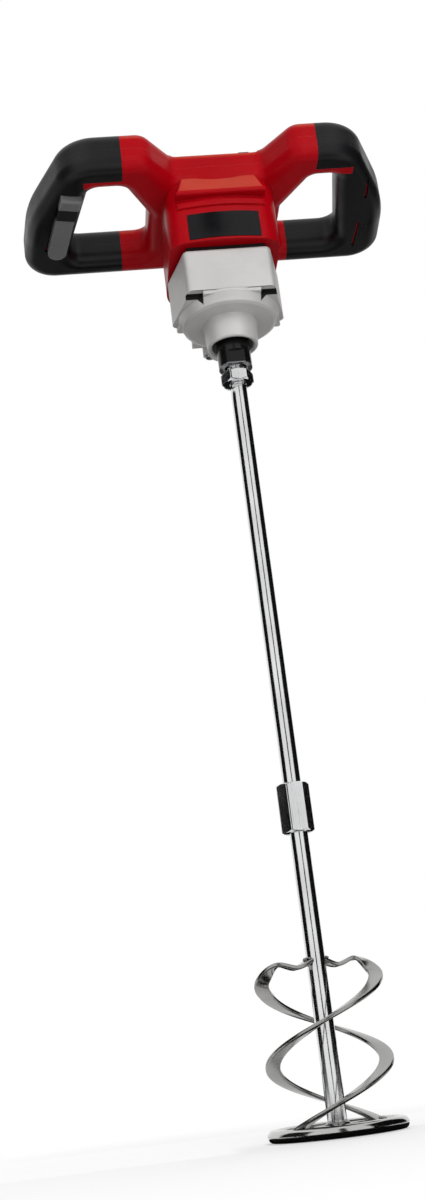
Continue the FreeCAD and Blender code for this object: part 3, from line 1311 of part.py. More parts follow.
pocket(switch, rectangle(plan(switch, "plunger_room"),
                         "-plunger_half - moving_gap", "plunger_half + moving_gap",
                         "plunger_front - moving_gap", "plunger_rear + moving_gap"),
       "plunger_room - switch_bottom")
LEVER_SLOPE = "(trigger_drop_rear - trigger_drop_front) / (trigger_length + trigger_front)"
LEVER_TOP = f"trigger_thickness - trigger_drop_front - (plunger_front + trigger_front) * {LEVER_SLOPE}"
plunger = new_body("switch_plunger", **GROUP)
pad(plunger, rectangle(plan(plunger, LEVER_TOP + " + plunger_lift"), "-plunger_half", "plunger_half",
                       "plunger_front", "plunger_rear"), f"plunger_top - ({LEVER_TOP}) - plunger_lift")

# Lead from the switch through the front bar to the control board.
LEAD_LEVEL = "loop_middle + lead_rise"
switch_end = TRIGGER_AT.multVec(FreeCAD.Vector(0, value("switch_front"), 0))
route = [
    FreeCAD.Vector(switch_end.x, switch_end.y, value(LEAD_LEVEL)),
    point("-left_gap_front_outer - lead_bend * 2", "-gap_front + lead_bend", LEAD_LEVEL),
    point("-left_gap_front_outer + lead_bend", "-gap_front - lead_bend * 2", LEAD_LEVEL),
    point("-left_slope_end", "-gap_front - lead_bend - lead_radius", LEAD_LEVEL),
    point("-arm_root + lead_bend", "-saddle_front + lead_bend / 2", LEAD_LEVEL),
    point("-hood_top_half", "-hood_back", LEAD_LEVEL),
    point("-sink_half", BOARD_LINE, BOARD_TOP + " + lead_bend"), point("-sink_half", BOARD_LINE, BOARD_TOP)]
solid("switch_lead", lead(route))

# Stirrer: rod in two lengths with a lock nut and a hexagon coupling, two helical ribbons, ring and spoke.
RING_MIDDLE = "-spindle_reach - stirrer_length"
COUPLING_TOP = "-spindle_reach - coupling_top"
COUPLING_END = COUPLING_TOP + " - coupling_length"
ROD_SPLIT = COUPLING_TOP + " - coupling_length / 2"
SPOKE_TOP = RING_MIDDLE + " + spoke_height"


def hex_piece(label, width, bottom, length):
    """A hexagon nut on the rod with chamfered rims."""
    body = new_body(label)
    sketch = hexagon(plan(body, bottom), width)
    circle(sketch, "rod_radius + running_gap")
    pad(body, sketch, length)
    trim = body.newObject("Sketcher::SketchObject", label + "_trim")
    plane = next(item for item in body.Origin.OriginFeatures if item.Role == "XZ_Plane")
    trim.AttachmentSupport = [(plane, "")]
    trim.MapMode = "FlatFace"
    inner = f"{width} / 2 - hex_chamfer / 2"
    outer = f"{width} * hex_corner_share + overrun"
    slope = f"({outer} - {width} / 2 + hex_chamfer / 2) * hex_corner_share"
    top = f"{bottom} + {length}"
    corners(trim, [(inner, bottom), (outer, bottom), (outer, f"{bottom} + {slope}")])
    corners(trim, [(inner, top), (outer, top), (outer, f"{top} - {slope}")])
    groove = body.newObject("PartDesign::Groove", label + "_groove")
    groove.Profile = trim
    groove.ReferenceAxis = (trim, ["V_Axis"])
    groove.Angle = 360.0
    return body


for label, bottom, top in (("upper_rod", ROD_SPLIT, "-spindle_reach + thread_depth - moving_gap"),
                           ("lower_rod", SPOKE_TOP, ROD_SPLIT)):
    turned(label, [("0", bottom), ("rod_radius", bottom), ("rod_radius", top), ("0", top)])
hex_piece("lock_nut", "nut_flats", "-spindle_reach - nut_gap - nut_length", "nut_length")
hex_piece("rod_coupling", "coupling_flats", COUPLING_END, "coupling_length")
torus = Part.makeTorus(value("ring_radius"), value("ring_bar"), point("0", "0", RING_MIDDLE))
solid("bottom_ring", torus)


# Radius, height and angle of the ribbon's first stations, as shares of the lobe and its lead.
WELD_LEAD_SHARE = 1.6
DIP_LEAD_SHARE = 1.5
SHOULDER_SHARE = 0.25
HELIX_START_SHARE = 0.06
HELIX_STATIONS = 44
CURVED_STATIONS = 8
BEND_STATIONS = 26
TWIST_SHARES = (0.3, 0.85)


def ribbon(start):
    """One flat bar: it leaves the rod, swings over a lobe and winds down to the ring.
    It lies flat where it runs out from the rod, and its width lies along the radius on the helix."""
    top = value(RING_MIDDLE + " + ribbon_top")
    fall = value("ribbon_top - ribbon_foot")
    turn = math.radians(value("ribbon_turn"))
    swing = math.radians(value("lobe_lead"))
    helix = value("ribbon_radius")
    line = [
        (value("rod_radius"), start + swing * WELD_LEAD_SHARE, top + value("weld_height")),
        (value("dip_radius"), start + swing * DIP_LEAD_SHARE, top + value("dip_height")),
        (value("lobe_radius"), start + swing, top + value("lobe_height")),
        (helix, start + swing * SHOULDER_SHARE, top + value("lobe_height") * SHOULDER_SHARE),
    ]
    for step in range(1, HELIX_STATIONS + 1):
        share = HELIX_START_SHARE + (1 - HELIX_START_SHARE) * step / HELIX_STATIONS
        line.append((helix, start - turn * share, top - fall * share))
    spots = [FreeCAD.Vector(r * math.cos(a), r * math.sin(a), z) for r, a, z in line]
    curve = Part.BSplineCurve()
    curve.interpolate(spots[:CURVED_STATIONS])
    first = curve.FirstParameter
    span = curve.LastParameter - first
    bend = [curve.value(first + span * step / BEND_STATIONS) for step in range(BEND_STATIONS + 1)]
    places = bend + spots[CURVED_STATIONS:]
    last = len(places) - 1
    twist_start, twist_end = (share * BEND_STATIONS for share in TWIST_SHARES)
    sections = []
    for index, place in enumerate(places):
        along = (places[min(index + 1, last)] - places[max(index - 1, 0)]).normalize()
        radial = FreeCAD.Vector(place.x, place.y, 0).normalize()
        steep = along.cross(radial)
        level = FreeCAD.Vector(0, 0, 1)
        blend = max(0.0, min(1.0, (index - twist_start) / (twist_end - twist_start)))
        blend = blend * blend * (3 - 2 * blend)
        normal = level * (1 - blend) * (1 if steep.dot(level) >= 0 else -1) + steep * blend
        wide = normal.cross(along).normalize() * (value("ribbon_width") / 2)
        thick = along.cross(wide).normalize() * (value("ribbon_thickness") / 2)
        section = [place + wide + thick, place + wide - thick, place - wide - thick, place - wide + thick]
        sections.append(Part.makePolygon(section + section[:1]))
    bar = Part.makeLoft(sections, True, True)
    rod = drum("rod_radius", RING_MIDDLE, "stirrer_length")
    return bar.cut(torus).cut(rod)


for label, start in (("left_ribbon", math.pi), ("right_ribbon", 0.0)):
    pieces = ribbon(start).Solids
    solid(label, max(pieces, key=lambda piece: piece.Volume))

spoke = block("-ring_radius", "ring_radius", "-spoke_half", "spoke_half",
              RING_MIDDLE + " - spoke_height / 2", SPOKE_TOP)
spoke.rotate(FreeCAD.Vector(0, 0, 0), FreeCAD.Vector(0, 0, 1), value("spoke_turn"))
solid("ring_spoke", spoke.cut(torus))

# Every object has to be sound before anything is written.
doc.recompute()
for item in doc.Objects:
    if "Invalid" in item.State or "Error" in item.State:
        raise RuntimeError(f"{item.Label} failed: {item.State}")
for part in PARTS:
    if part.Shape.isNull() or not part.Shape.isValid():
        raise RuntimeError(f"{part.Label} is not a sound solid")
os.makedirs("parts", exist_ok=True)
for part in PARTS:
    part.Shape.exportStep(f"parts/{part.Label}.step")
    print(part.Label, len(part.Shape.Solids), round(part.Shape.Volume), part.Shape.BoundBox)
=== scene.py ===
import math

import bmesh
import bpy
import numpy as np
from mathutils import Matrix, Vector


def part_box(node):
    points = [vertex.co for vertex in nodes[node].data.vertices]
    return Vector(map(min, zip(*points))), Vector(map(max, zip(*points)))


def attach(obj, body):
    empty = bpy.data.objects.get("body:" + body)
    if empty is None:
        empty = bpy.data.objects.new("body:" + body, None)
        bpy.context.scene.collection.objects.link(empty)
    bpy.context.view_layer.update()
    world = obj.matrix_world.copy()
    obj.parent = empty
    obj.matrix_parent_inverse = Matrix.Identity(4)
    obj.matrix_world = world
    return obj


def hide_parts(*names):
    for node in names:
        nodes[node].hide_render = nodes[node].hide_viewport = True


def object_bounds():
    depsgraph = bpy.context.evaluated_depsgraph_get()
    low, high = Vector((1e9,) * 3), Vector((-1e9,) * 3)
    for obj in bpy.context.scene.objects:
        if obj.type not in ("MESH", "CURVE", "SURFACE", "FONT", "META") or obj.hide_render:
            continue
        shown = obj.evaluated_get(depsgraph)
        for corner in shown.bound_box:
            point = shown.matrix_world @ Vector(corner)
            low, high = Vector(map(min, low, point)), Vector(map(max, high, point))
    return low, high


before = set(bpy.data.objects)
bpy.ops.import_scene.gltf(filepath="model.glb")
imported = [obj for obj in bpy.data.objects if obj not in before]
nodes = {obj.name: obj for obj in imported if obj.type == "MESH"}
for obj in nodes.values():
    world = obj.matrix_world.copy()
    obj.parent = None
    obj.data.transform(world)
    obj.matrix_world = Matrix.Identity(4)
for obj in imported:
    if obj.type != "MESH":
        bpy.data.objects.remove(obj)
cad_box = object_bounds()


# Housing: two red mouldings that meet in a level line half-way up the hand loops. They are filled
# plastic from a spark-eroded tool, so the skin is satin with a fine grain, and its edges are rubbed
# a little paler, with an orange tint that is partly a painted highlight.

class Value:
    """A shader socket in a sum: each operator adds one Math node, and numbers go in as they are."""

    def __init__(self, tree, socket):
        self.tree = tree
        self.socket = socket

    def sum_with(self, operation, *terms):
        """One Math node on its terms."""
        node = self.tree.nodes.new("ShaderNodeMath")
        node.operation = operation
        for socket, term in zip(node.inputs, terms):
            plug(self.tree, socket, term)
        return Value(self.tree, node.outputs[0])

    def __add__(self, other):
        return self.sum_with("ADD", self, other)

    def __radd__(self, other):
        return self.sum_with("ADD", other, self)

    def __sub__(self, other):
        return self.sum_with("SUBTRACT", self, other)

    def __rsub__(self, other):
        return self.sum_with("SUBTRACT", other, self)

    def __mul__(self, other):
        return self.sum_with("MULTIPLY", self, other)

    def __rmul__(self, other):
        return self.sum_with("MULTIPLY", other, self)


def plug(tree, socket, term):
    """Link a Value to a socket, or set the socket to a plain number or colour."""
    if isinstance(term, Value):
        tree.links.new(term.socket, socket)
    else:
        socket.default_value = term


class Finish:
    """A material on one Principled shader."""

    def __init__(self, name):
        self.material = bpy.data.materials.new(name)
        self.material.use_nodes = True
        self.tree = self.material.node_tree
        self.shader = self.tree.nodes["Principled BSDF"]
        self.place = self.node("ShaderNodeTexCoord", out="Object")

    def node(self, kind, settings=None, sockets=None, out=0):
        """Add a node: its settings first, then the values or links of its sockets."""
        made = self.tree.nodes.new(kind)
        for name, setting in (settings or {}).items():
            setattr(made, name, setting)
        for name, term in (sockets or {}).items():
            plug(self.tree, made.inputs[name], term)
        return Value(self.tree, made.outputs[out])

    def noise(self, scale, detail=2.0, stretch=(1.0, 1.0, 1.0)):
        """Soft noise from 0 to 1 in the piece's own metres, stretched along an axis where asked."""
        place = self.place
        if stretch != (1.0, 1.0, 1.0):
            place = self.node("ShaderNodeMapping", None, {"Vector": place, "Scale": stretch})
        return self.node("ShaderNodeTexNoise", None, {"Vector": place, "Scale": scale, "Detail": detail})

    def cells(self, scale):
        """Distance to the nearest of many scattered points, which gives a pebbled grain."""
        return self.node("ShaderNodeTexVoronoi", None, {"Vector": self.place, "Scale": scale})

    def along(self, axis):
        """The place along X, Y or Z in metres."""
        return self.node("ShaderNodeSeparateXYZ", None, {"Vector": self.place}, axis)

    def span(self, value, low, high, start=0.0, end=1.0):
        """Carry a value from low..high to start..end, held at both ends."""
        return self.node("ShaderNodeMapRange", None, {"Value": value, "From Min": low, "From Max": high,
                                                      "To Min": start, "To Max": end})

    def mixed(self, share, first, second):
        """Blend two colours by a share."""
        return self.node("ShaderNodeMix", {"data_type": "RGBA"}, {0: share, 6: first, 7: second}, 2)

    def edges(self, radius):
        """A mask along edges: how far a normal rounded over the radius leans from the true one."""
        rounded = self.node("ShaderNodeBevel", {"samples": 4}, {"Radius": radius})
        true = self.node("ShaderNodeNewGeometry", out="Normal")
        lean = self.node("ShaderNodeVectorMath", {"operation": "DOT_PRODUCT"}, {0: rounded, 1: true},
                         "Value")
        return self.span(1.0 - lean, 0.02, 0.25)

    def bumped(self, height, distance, soft=None):
        """A normal from a height map, on top of edges softened over a radius where asked."""
        sockets = {"Height": height, "Distance": distance}
        if soft:
            sockets["Normal"] = self.node("ShaderNodeBevel", {"samples": 4}, {"Radius": soft})
        return self.node("ShaderNodeBump", None, sockets)

    def surface(self, **sockets):
        """Fill the shader's sockets: base_color fills Base Color, and so on."""
        for name, term in sockets.items():
            plug(self.tree, self.shader.inputs[name.replace("_", " ").title().replace("Ior", "IOR")], term)
        return self.material


def tint(red, green, blue):
    """An opaque colour from its linear parts."""
    return (red, green, blue, 1.0)


def shaded(colour, share):
    """The same colour at a share of its brightness."""
    return tint(*(share * part for part in colour[:3]))


def wear(material, *names):
    """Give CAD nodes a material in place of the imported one."""
    for name in names:
        slots = nodes[name].data.materials
        slots.clear()
        slots.append(material)


def moulded(name, colour, worn_and_sheen, rough, grain=2600.0, soft=0.0006, shine=0.3):
    """Moulded plastic: a slow drift of colour, paler rubbed edges whose tint on the red is partly a painted
    highlight, patchy gloss and the fine grain that a spark-eroded tool leaves."""
    finish = Finish(name)
    drift = finish.span(finish.noise(18.0, 3.0), 0.35, 0.7)
    rubbed = finish.edges(soft * 2) * finish.span(finish.noise(160.0, 4.0), 0.4, 0.75)
    skin = finish.mixed(rubbed * 0.5, finish.mixed(drift, shaded(colour, 0.86), colour), worn_and_sheen)
    gloss = finish.noise(45.0, 3.0) * 0.16 + (rough - 0.08) - rubbed * 0.1
    return finish.surface(base_color=skin, roughness=gloss, specular_ior_level=shine,
                          normal=finish.bumped(finish.noise(grain, 2.0), distance=0.00006, soft=soft))


RED_MOULDINGS = ("lower_housing", "upper_housing")
# The orange tint on the red's rubbed edges is partly wear and partly a painted highlight.
wear(moulded("red_moulding", tint(0.44, 0.0008, 0.006), tint(0.62, 0.05, 0.02), rough=0.33, shine=0.1),
     *RED_MOULDINGS)


# Housing screws: eight zinc-plated steel screws, cold-headed with a six-lobe socket. They are driven
# from above into bosses in the lower half, and their heads sit deep in round wells.

def closed_mesh(name, grids, ring=False, merge=1e-6, sharp=math.radians(32.0)):
    """One mesh from grids of points, rows by columns: the columns close on themselves, and the rows
    do too on a ring. On other grids the first and last row are single points that close the ends.
    Points nearer than the merge distance become one, and edges past the sharp angle stay crisp."""
    faces = []
    count = 0
    for grid in grids:
        index = np.arange(grid.shape[0] * grid.shape[1]).reshape(grid.shape[:2]) + count
        low = index if ring else index[:-1]
        high = np.roll(index, -1, 0) if ring else index[1:]
        faces.append(np.stack([low, np.roll(low, -1, 1), np.roll(high, -1, 1), high], -1).reshape(-1, 4))
        count += index.size
    points = np.concatenate([grid.reshape(-1, 3) for grid in grids])
    mesh = bpy.data.meshes.new(name)
    mesh.from_pydata(points, [], np.concatenate(faces).tolist())
    shape = bmesh.new()
    shape.from_mesh(mesh)
    bmesh.ops.remove_doubles(shape, verts=shape.verts, dist=merge)
    bmesh.ops.recalc_face_normals(shape, faces=shape.faces)
    shape.to_mesh(mesh)
    shape.free()
    mesh.polygons.foreach_set("use_smooth", np.ones(len(mesh.polygons), bool))
    mesh.set_sharp_from_angle(angle=sharp)
    return mesh


def piece_of(mesh, body, slot, material, *replaced):
    """Put a mesh into the scene as a piece that rides on a body and stands for CAD nodes."""
    mesh.materials.append(material)
    piece = bpy.data.objects.new(mesh.name, mesh)
    bpy.context.scene.collection.objects.link(piece)
    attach(piece, body)
    if replaced:
        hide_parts(*replaced)


def turned_grid(radii, heights, columns):
    """Points at radii and heights round the Z axis: each radius may be one number or one per column."""
    angle = np.linspace(0.0, 2.0 * math.pi, columns, endpoint=False)
    radius = np.stack([np.broadcast_to(radius, columns) for radius in radii])
    height = np.broadcast_to(np.asarray(heights)[:, None], radius.shape)
    return np.stack([radius * np.cos(angle), radius * np.sin(angle), height], -1)


def screw_grid(shank, head, head_height, length, turns=12, columns=48):
    """A screw that points down from its seat at height zero: from the middle of the socket's floor up its
    six-lobed wall, over the domed head and down the shank, whose radius ripples once for each turn of
    the thread and shrinks at the point."""
    angle = np.linspace(0.0, 2.0 * math.pi, columns, endpoint=False)
    lobes = head * (0.46 + 0.07 * np.cos(6.0 * angle))
    depth = 0.6 * head_height
    radii = [0.0, lobes, lobes, head * 0.8, head * 0.95, head, head]
    heights = [head_height - depth, head_height - depth, head_height, head_height, head_height * 0.86,
               head_height * 0.6, 0.0]
    threads = np.linspace(0.0, 1.0, 4 * turns + 1)
    point = np.minimum(1.0, 8.0 * (1.02 - threads))
    radii += list(shank * (0.92 + 0.08 * np.cos(threads * turns * 2.0 * math.pi)) * point)
    heights += list(-length * threads)
    return turned_grid(radii + [0.0], heights + [-length], columns)


def metal(name, colour, rough, stretch=(1.0, 1.0, 1.0), grain=900.0, soft=0.0004, metallic=1.0):
    """Bare or plated metal: fine drawn or blasted grain, patchy gloss and brighter edges."""
    finish = Finish(name)
    drawn = finish.noise(grain, 3.0, stretch)
    patches = finish.span(finish.noise(30.0, 4.0), 0.35, 0.7)
    bright = finish.edges(soft * 2)
    skin = finish.mixed(patches, shaded(colour, 0.84), colour)
    skin = finish.mixed(bright * 0.35, skin, tint(0.8, 0.8, 0.8))
    gloss = rough + (patches - 0.5) * (rough * 0.4) + (drawn - 0.5) * (rough * 0.5)
    return finish.surface(base_color=skin, metallic=metallic, roughness=gloss,
                          normal=finish.bumped(drawn, distance=0.00002, soft=soft))


zinc = metal("zinc_screws", tint(0.5, 0.51, 0.51), rough=0.3)
wear(zinc, "housing_screws", "cover_screws", "case_screws", "motor_screws")
HOUSING_SCREWS = np.array([(-68.0, -63.0), (68.0, -63.0), (-68.0, 70.0), (68.0, 70.0), (-152.0, 66.0),
                           (137.0, 66.0), (-127.0, -58.0), (114.0, -58.0)]) * 0.001
HOUSING_HEAD = 0.003
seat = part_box("housing_screws")[1][2] - HOUSING_HEAD
screw = screw_grid(shank=0.002, head=0.0036, head_height=HOUSING_HEAD, length=0.024)
piece_of(closed_mesh("housing_screw_set", [screw + (x, y, seat) for x, y in HOUSING_SCREWS]), "drill",
         "zinc_screws", zinc, "housing_screws")


# Soft grips: black rubber moulded over the outer parts of both loops in an upper and a lower piece,
# with a harder inlay in the right one. The skin is matt with a pebbled grain and shines where hands rub.

def rubber(name, colour, rough, pebble):
    """Rubber: matt, with a pebbled grain, a little dust and patches that hands have polished."""
    finish = Finish(name)
    rubbed = finish.span(finish.noise(24.0, 3.0), 0.42, 0.68)
    dust = finish.span(finish.noise(700.0, 4.0), 0.62, 0.8) * 0.3
    skin = finish.mixed(dust, colour, tint(0.03, 0.03, 0.032))
    gloss = rough + dust * 0.2 - rubbed * 0.12
    grain = finish.span(finish.cells(pebble), 0.0, 0.6)
    return finish.surface(base_color=skin, roughness=gloss, specular_ior_level=0.28,
                          normal=finish.bumped(grain, distance=0.00005, soft=0.0004))


wear(rubber("grip_rubber", tint(0.006, 0.006, 0.007), rough=0.46, pebble=900.0),
     "left_grip_lower", "left_grip_upper", "right_grip_lower", "right_grip_upper")
wear(rubber("grip_inlay_rubber", tint(0.003, 0.003, 0.004), rough=0.4, pebble=1500.0), "grip_inlay")


# Label plate: a thin black plate bent to the barrel and glued into its pocket. It is bare and glossy,
# with faint wipe marks.

def glossy_plate(name, colour):
    """Lacquered plate: near black, with faint level wipe marks in the gloss."""
    finish = Finish(name)
    wipes = finish.span(finish.noise(60.0, 4.0, (0.25, 1.0, 1.0)), 0.45, 0.75)
    return finish.surface(base_color=finish.mixed(wipes * 0.4, colour, tint(0.01, 0.01, 0.011)),
                          roughness=wipes * 0.12 + 0.22, specular_ior_level=0.22,
                          normal=finish.bumped(wipes, distance=0.00001, soft=0.0003))


wear(glossy_plate("black_gloss", tint(0.003, 0.003, 0.004)), "label_plate")


# Battery foot: black moulded plastic with two lipped rails, which stands on the deck. Three stamped
# bronze blades sit in a block between the rails.

black_plastic = moulded("black_plastic", tint(0.008, 0.008, 0.009), tint(0.04, 0.04, 0.04), rough=0.42)
wear(black_plastic, "battery_foot")
bronze = metal("bronze", tint(0.52, 0.29, 0.12), rough=0.35)
wear(bronze, "battery_contacts")


# Trigger group: a grey nylon trigger on a steel pin, a grey guard block and a black lock button, all
# moulded, under the left loop. The switch and its plunger sit in the loop above them.

grey_plastic = moulded("grey_plastic", tint(0.17, 0.17, 0.175), tint(0.36, 0.36, 0.36), rough=0.36)
wear(grey_plastic, "trigger", "switch_guard", "switch_plunger")
wear(black_plastic, "lock_button", "switch_body")
plain_steel = metal("plain_steel", tint(0.5, 0.5, 0.51), rough=0.32)
wear(plain_steel, "trigger_pin")


# Gear case and cover: pressure-cast aluminium, blasted to a pale satin grey. A faint crease crosses the
# case where the two slides of the die met, and edges are brighter where the blast has polished them.
# A black rubber gasket seals the case to the housing.

CREASE, CREASE_HALF = 0.053, 0.0006
NOTCH_SIDE = 0.024
NOTCH_MOUTH = (-0.0365, -0.0360)
NOTCH_WALL = (-0.0324, -0.0328)
NOTCH_CEILING = (0.0329, 0.0326)
SHADOW_LINE, SHADOW_LINE_HALF = 0.0323, 0.0006
SHADOW_LINE_BACK = (-0.0400, -0.0406)
BLAST_POLISH = 0.0018


def cast(name, colour):
    """Blasted casting: a fine sparkle, cloudy patches, flow streaks, and a step in height at the crease.
    Painted shade: near black fills two notches past a half width, between their mouth and their wall and
    under their ceiling, and a painted shadow line lies level on the front under the case's edge. A pair
    of places says where the painted shade starts and where it is full."""
    finish = Finish(name)
    cloud = finish.span(finish.noise(26.0, 4.0), 0.3, 0.72)
    flow = finish.noise(140.0, 3.0, (1.0, 1.0, 0.25))
    sparkle = finish.noise(2400.0, 2.0)
    bright = finish.edges(BLAST_POLISH)
    skin = finish.mixed(cloud, shaded(colour, 0.88), colour)
    skin = finish.mixed(bright * 0.45, skin, tint(0.8, 0.8, 0.79))
    # Painted shade: near black in the two corner notches, where the block's underside lies in shadow, and a
    # painted shadow line under the case's front edge.
    aside = finish.along("X") * finish.along("X")
    painted_shade = finish.span(aside, NOTCH_SIDE ** 2 * 0.98, NOTCH_SIDE ** 2)
    painted_shade = painted_shade * finish.span(finish.along("Y"), *NOTCH_MOUTH)
    painted_shade = painted_shade * finish.span(finish.along("Y"), *NOTCH_WALL)
    painted_shade = painted_shade * finish.span(finish.along("Z"), *NOTCH_CEILING)
    rise = finish.along("Z") - SHADOW_LINE
    line = finish.span(rise * rise, SHADOW_LINE_HALF ** 2, SHADOW_LINE_HALF ** 2 * 0.3)
    line = line * finish.span(finish.along("Y"), *SHADOW_LINE_BACK)
    painted_shade = painted_shade + line * 0.8
    skin = finish.mixed(painted_shade, skin, tint(0.004, 0.004, 0.004))
    step = finish.span(finish.along("Z"), CREASE - CREASE_HALF, CREASE + CREASE_HALF) * 4.0
    gloss = 0.44 + (cloud - 0.5) * 0.1 + (flow - 0.5) * 0.1
    return finish.surface(base_color=skin, metallic=0.2 - painted_shade * 0.2, roughness=gloss + painted_shade * 0.4,
                          normal=finish.bumped(sparkle + flow * 0.6 + step, distance=0.00004, soft=0.0012))


wear(cast("cast_aluminium", tint(0.62, 0.612, 0.6)), "gearbox_case", "gear_cover")
wear(rubber("gasket_rubber", tint(0.006, 0.006, 0.006), rough=0.6, pebble=1200.0),
     "gearbox_gasket", "spindle_seal")


# Cover screws: two zinc-plated steel screws, cold-headed like the housing's. They are driven from below
# and hold the gear cover to the case through lugs on its tail.

COVER_SCREWS = np.array([(-13.435, 54.685), (13.435, 54.685)]) * 0.001
COVER_SEAT = 0.004
COVER_HEAD = 0.0028
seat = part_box("cover_screws")[0][2] + COVER_SEAT
screw = screw_grid(shank=0.0025, head=0.0042, head_height=COVER_HEAD, length=0.016) * (1.0, 1.0, -1.0)
piece_of(closed_mesh("cover_screw_set", [screw + (x, y, seat) for x, y in COVER_SCREWS]), "drill",
         "zinc_screws", zinc, "cover_screws")


# Inside the housing: gear train, motor, control board and leads. They are pressed, screwed and wired in
# place, and each has its own plain finish.

wear(plain_steel, "output_gear", "layshaft_gear", "motor_pinion", "layshaft", "spindle_bearing_lower",
     "spindle_bearing_upper", "retaining_ring", "motor_can", "armature_core", "armature_shaft",
     "motor_bearings")
wear(bronze, "layshaft_bushes", "commutator")
wear(metal("winding_copper", tint(0.6, 0.25, 0.11), rough=0.3, stretch=(1.0, 1.0, 12.0)),
     "armature_windings")
wear(metal("bare_aluminium", tint(0.66, 0.66, 0.67), rough=0.35), "motor_plate", "board_heatsink")
wear(metal("magnet_grey", tint(0.09, 0.09, 0.095), rough=0.6, metallic=0.3), "motor_magnets")
wear(metal("carbon", tint(0.03, 0.03, 0.03), rough=0.5, metallic=0.2), "carbon_brushes")
wear(black_plastic, "motor_end_cap", "motor_fan")
wear(moulded("board_green", tint(0.01, 0.09, 0.03), tint(0.03, 0.2, 0.08), rough=0.35), "control_board")
wear(rubber("lead_black", tint(0.012, 0.012, 0.012), rough=0.45, pebble=2500.0),
     "motor_leads", "power_leads", "switch_lead")


# Spindle: turned steel with a black oxide skin, two milled flats for the spanner and a tapped socket for
# the rod. The end face is ground after blackening, so its rim is bright.

SPINDLE_RUB = 0.0008
BARE_START, BARE_FULL = 0.0009, 0.0004


def blackened(name, colour, ground, end):
    """Blackened steel: fine turning lines, rubbed edges, and bare metal within a millimetre of the end."""
    finish = Finish(name)
    lines = finish.noise(1800.0, 2.0, (0.05, 0.05, 1.0))
    rubbed = finish.edges(SPINDLE_RUB) * finish.span(finish.noise(220.0, 3.0), 0.4, 0.7)
    bare = finish.span(finish.along("Z"), end + BARE_START, end + BARE_FULL)
    skin = finish.mixed(rubbed * 0.5, colour, tint(0.12, 0.12, 0.12))
    return finish.surface(base_color=finish.mixed(bare, skin, ground), metallic=0.6 + bare * 0.4,
                          roughness=0.24 + (lines - 0.5) * 0.12 + bare * 0.1,
                          normal=finish.bumped(lines, distance=0.00001, soft=0.0004))


spindle_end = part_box("spindle")[0][2]
wear(blackened("black_steel", tint(0.012, 0.012, 0.013), tint(0.42, 0.42, 0.43), spindle_end), "spindle")


# Rod: chromed round steel in two lengths. The upper one has a rolled thread that screws into the
# spindle, and the lower one carries the stirrer's head.

chrome = metal("chromed_steel", tint(0.78, 0.783, 0.79), rough=0.11, stretch=(1.0, 1.0, 0.03), grain=1600.0)
wear(chrome, "upper_rod", "lower_rod", "lock_nut", "rod_coupling", "ring_spoke")
ROD = 0.007
ROD_ROWS = 24
THREAD_PAST_NUT = 0.002
TIP_IN, TIP_HEIGHT = 0.0008, 0.001


def threaded_rod(low, high, thread_end, pitch=0.002, depth=0.0011, pitch_rows=12, columns=48):
    """A round rod with a screw thread at its top: the radius drops by a flat-topped triangle wave of height
    over pitch less angle over a turn, which fades out over one pitch at the thread's end. A short cone
    ends the tip."""
    threads = np.arange(high, thread_end, -pitch / pitch_rows)
    heights = np.concatenate([[high], threads, np.linspace(thread_end, low, ROD_ROWS), [low]])
    turn = np.linspace(0.0, 1.0, columns, endpoint=False)
    wave = np.abs(2.0 * np.mod(heights[:, None] / pitch - turn, 1.0) - 1.0)
    groove = depth * np.clip(1.3 * wave - 0.15, 0.0, 1.0)
    groove *= np.clip((heights[:, None] - thread_end) / pitch, 0.0, 1.0)
    groove += TIP_IN * np.clip(1.0 - (high - heights[:, None]) / TIP_HEIGHT, 0.0, 1.0)
    radii = ROD - groove
    radii[0] = radii[-1] = 0.0
    return turned_grid(radii, heights, columns)


low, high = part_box("upper_rod")
upper_rod = threaded_rod(low[2], high[2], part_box("lock_nut")[0][2] - THREAD_PAST_NUT)
piece_of(closed_mesh("threaded_upper_rod", [upper_rod]), "output", "chromed_steel", chrome, "upper_rod")
low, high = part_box("lower_rod")
lower_heights = np.concatenate([[low[2]], np.linspace(low[2], high[2], ROD_ROWS), [high[2]]])
lower_rod = turned_grid([0.0] + [ROD] * ROD_ROWS + [0.0], lower_heights, columns=64)
piece_of(closed_mesh("plain_lower_rod", [lower_rod]), "output", "chromed_steel", chrome, "lower_rod")


# Lock nut and coupling: hexagon bar, parted off with a chamfer at each end, drilled and tapped for the
# rod, then chromed. Their sides stand at 30 degrees and every 60 degrees from there.

CORNER_POWER = 70.0
CONE_SHARE = 0.965
CONE_SLOPE = 1.73
CONE_ROWS = np.array([0.0, 0.0001, 0.0003, 0.0006, 0.0009, 0.0012, 0.0016, 0.0022])
SIDE_MARGIN = 0.004
SIDE_ROWS = 5
BORE_GRIP = 0.0004


def hexagon_grid(flats, low, high, columns=144):
    """A hexagon block on the rod: the radius is a high power mean of six flat sides, which rounds the
    corners a little, held under a cone of 30 degrees at each end. The rows run on through the bore as a
    ring."""
    angle = np.linspace(0.0, 2.0 * math.pi, columns, endpoint=False)
    sides = np.radians(30.0 + 60.0 * np.arange(6))
    leans = np.maximum(np.cos(angle[:, None] - sides), 0.0) / (flats / 2.0)
    hexagon = (leans ** CORNER_POWER).sum(-1) ** (-1.0 / CORNER_POWER)
    side = np.linspace(low + SIDE_MARGIN, high - SIDE_MARGIN, SIDE_ROWS)
    heights = np.concatenate([low + CONE_ROWS, side, (high - CONE_ROWS)[::-1]])
    inward = np.minimum(heights - low, high - heights)
    cone = flats / 2.0 * CONE_SHARE + inward * CONE_SLOPE
    outer = np.minimum(hexagon, cone[:, None])
    bore = ROD - BORE_GRIP
    return turned_grid([bore, *outer, bore], np.concatenate([[low], heights, [high]]), columns)


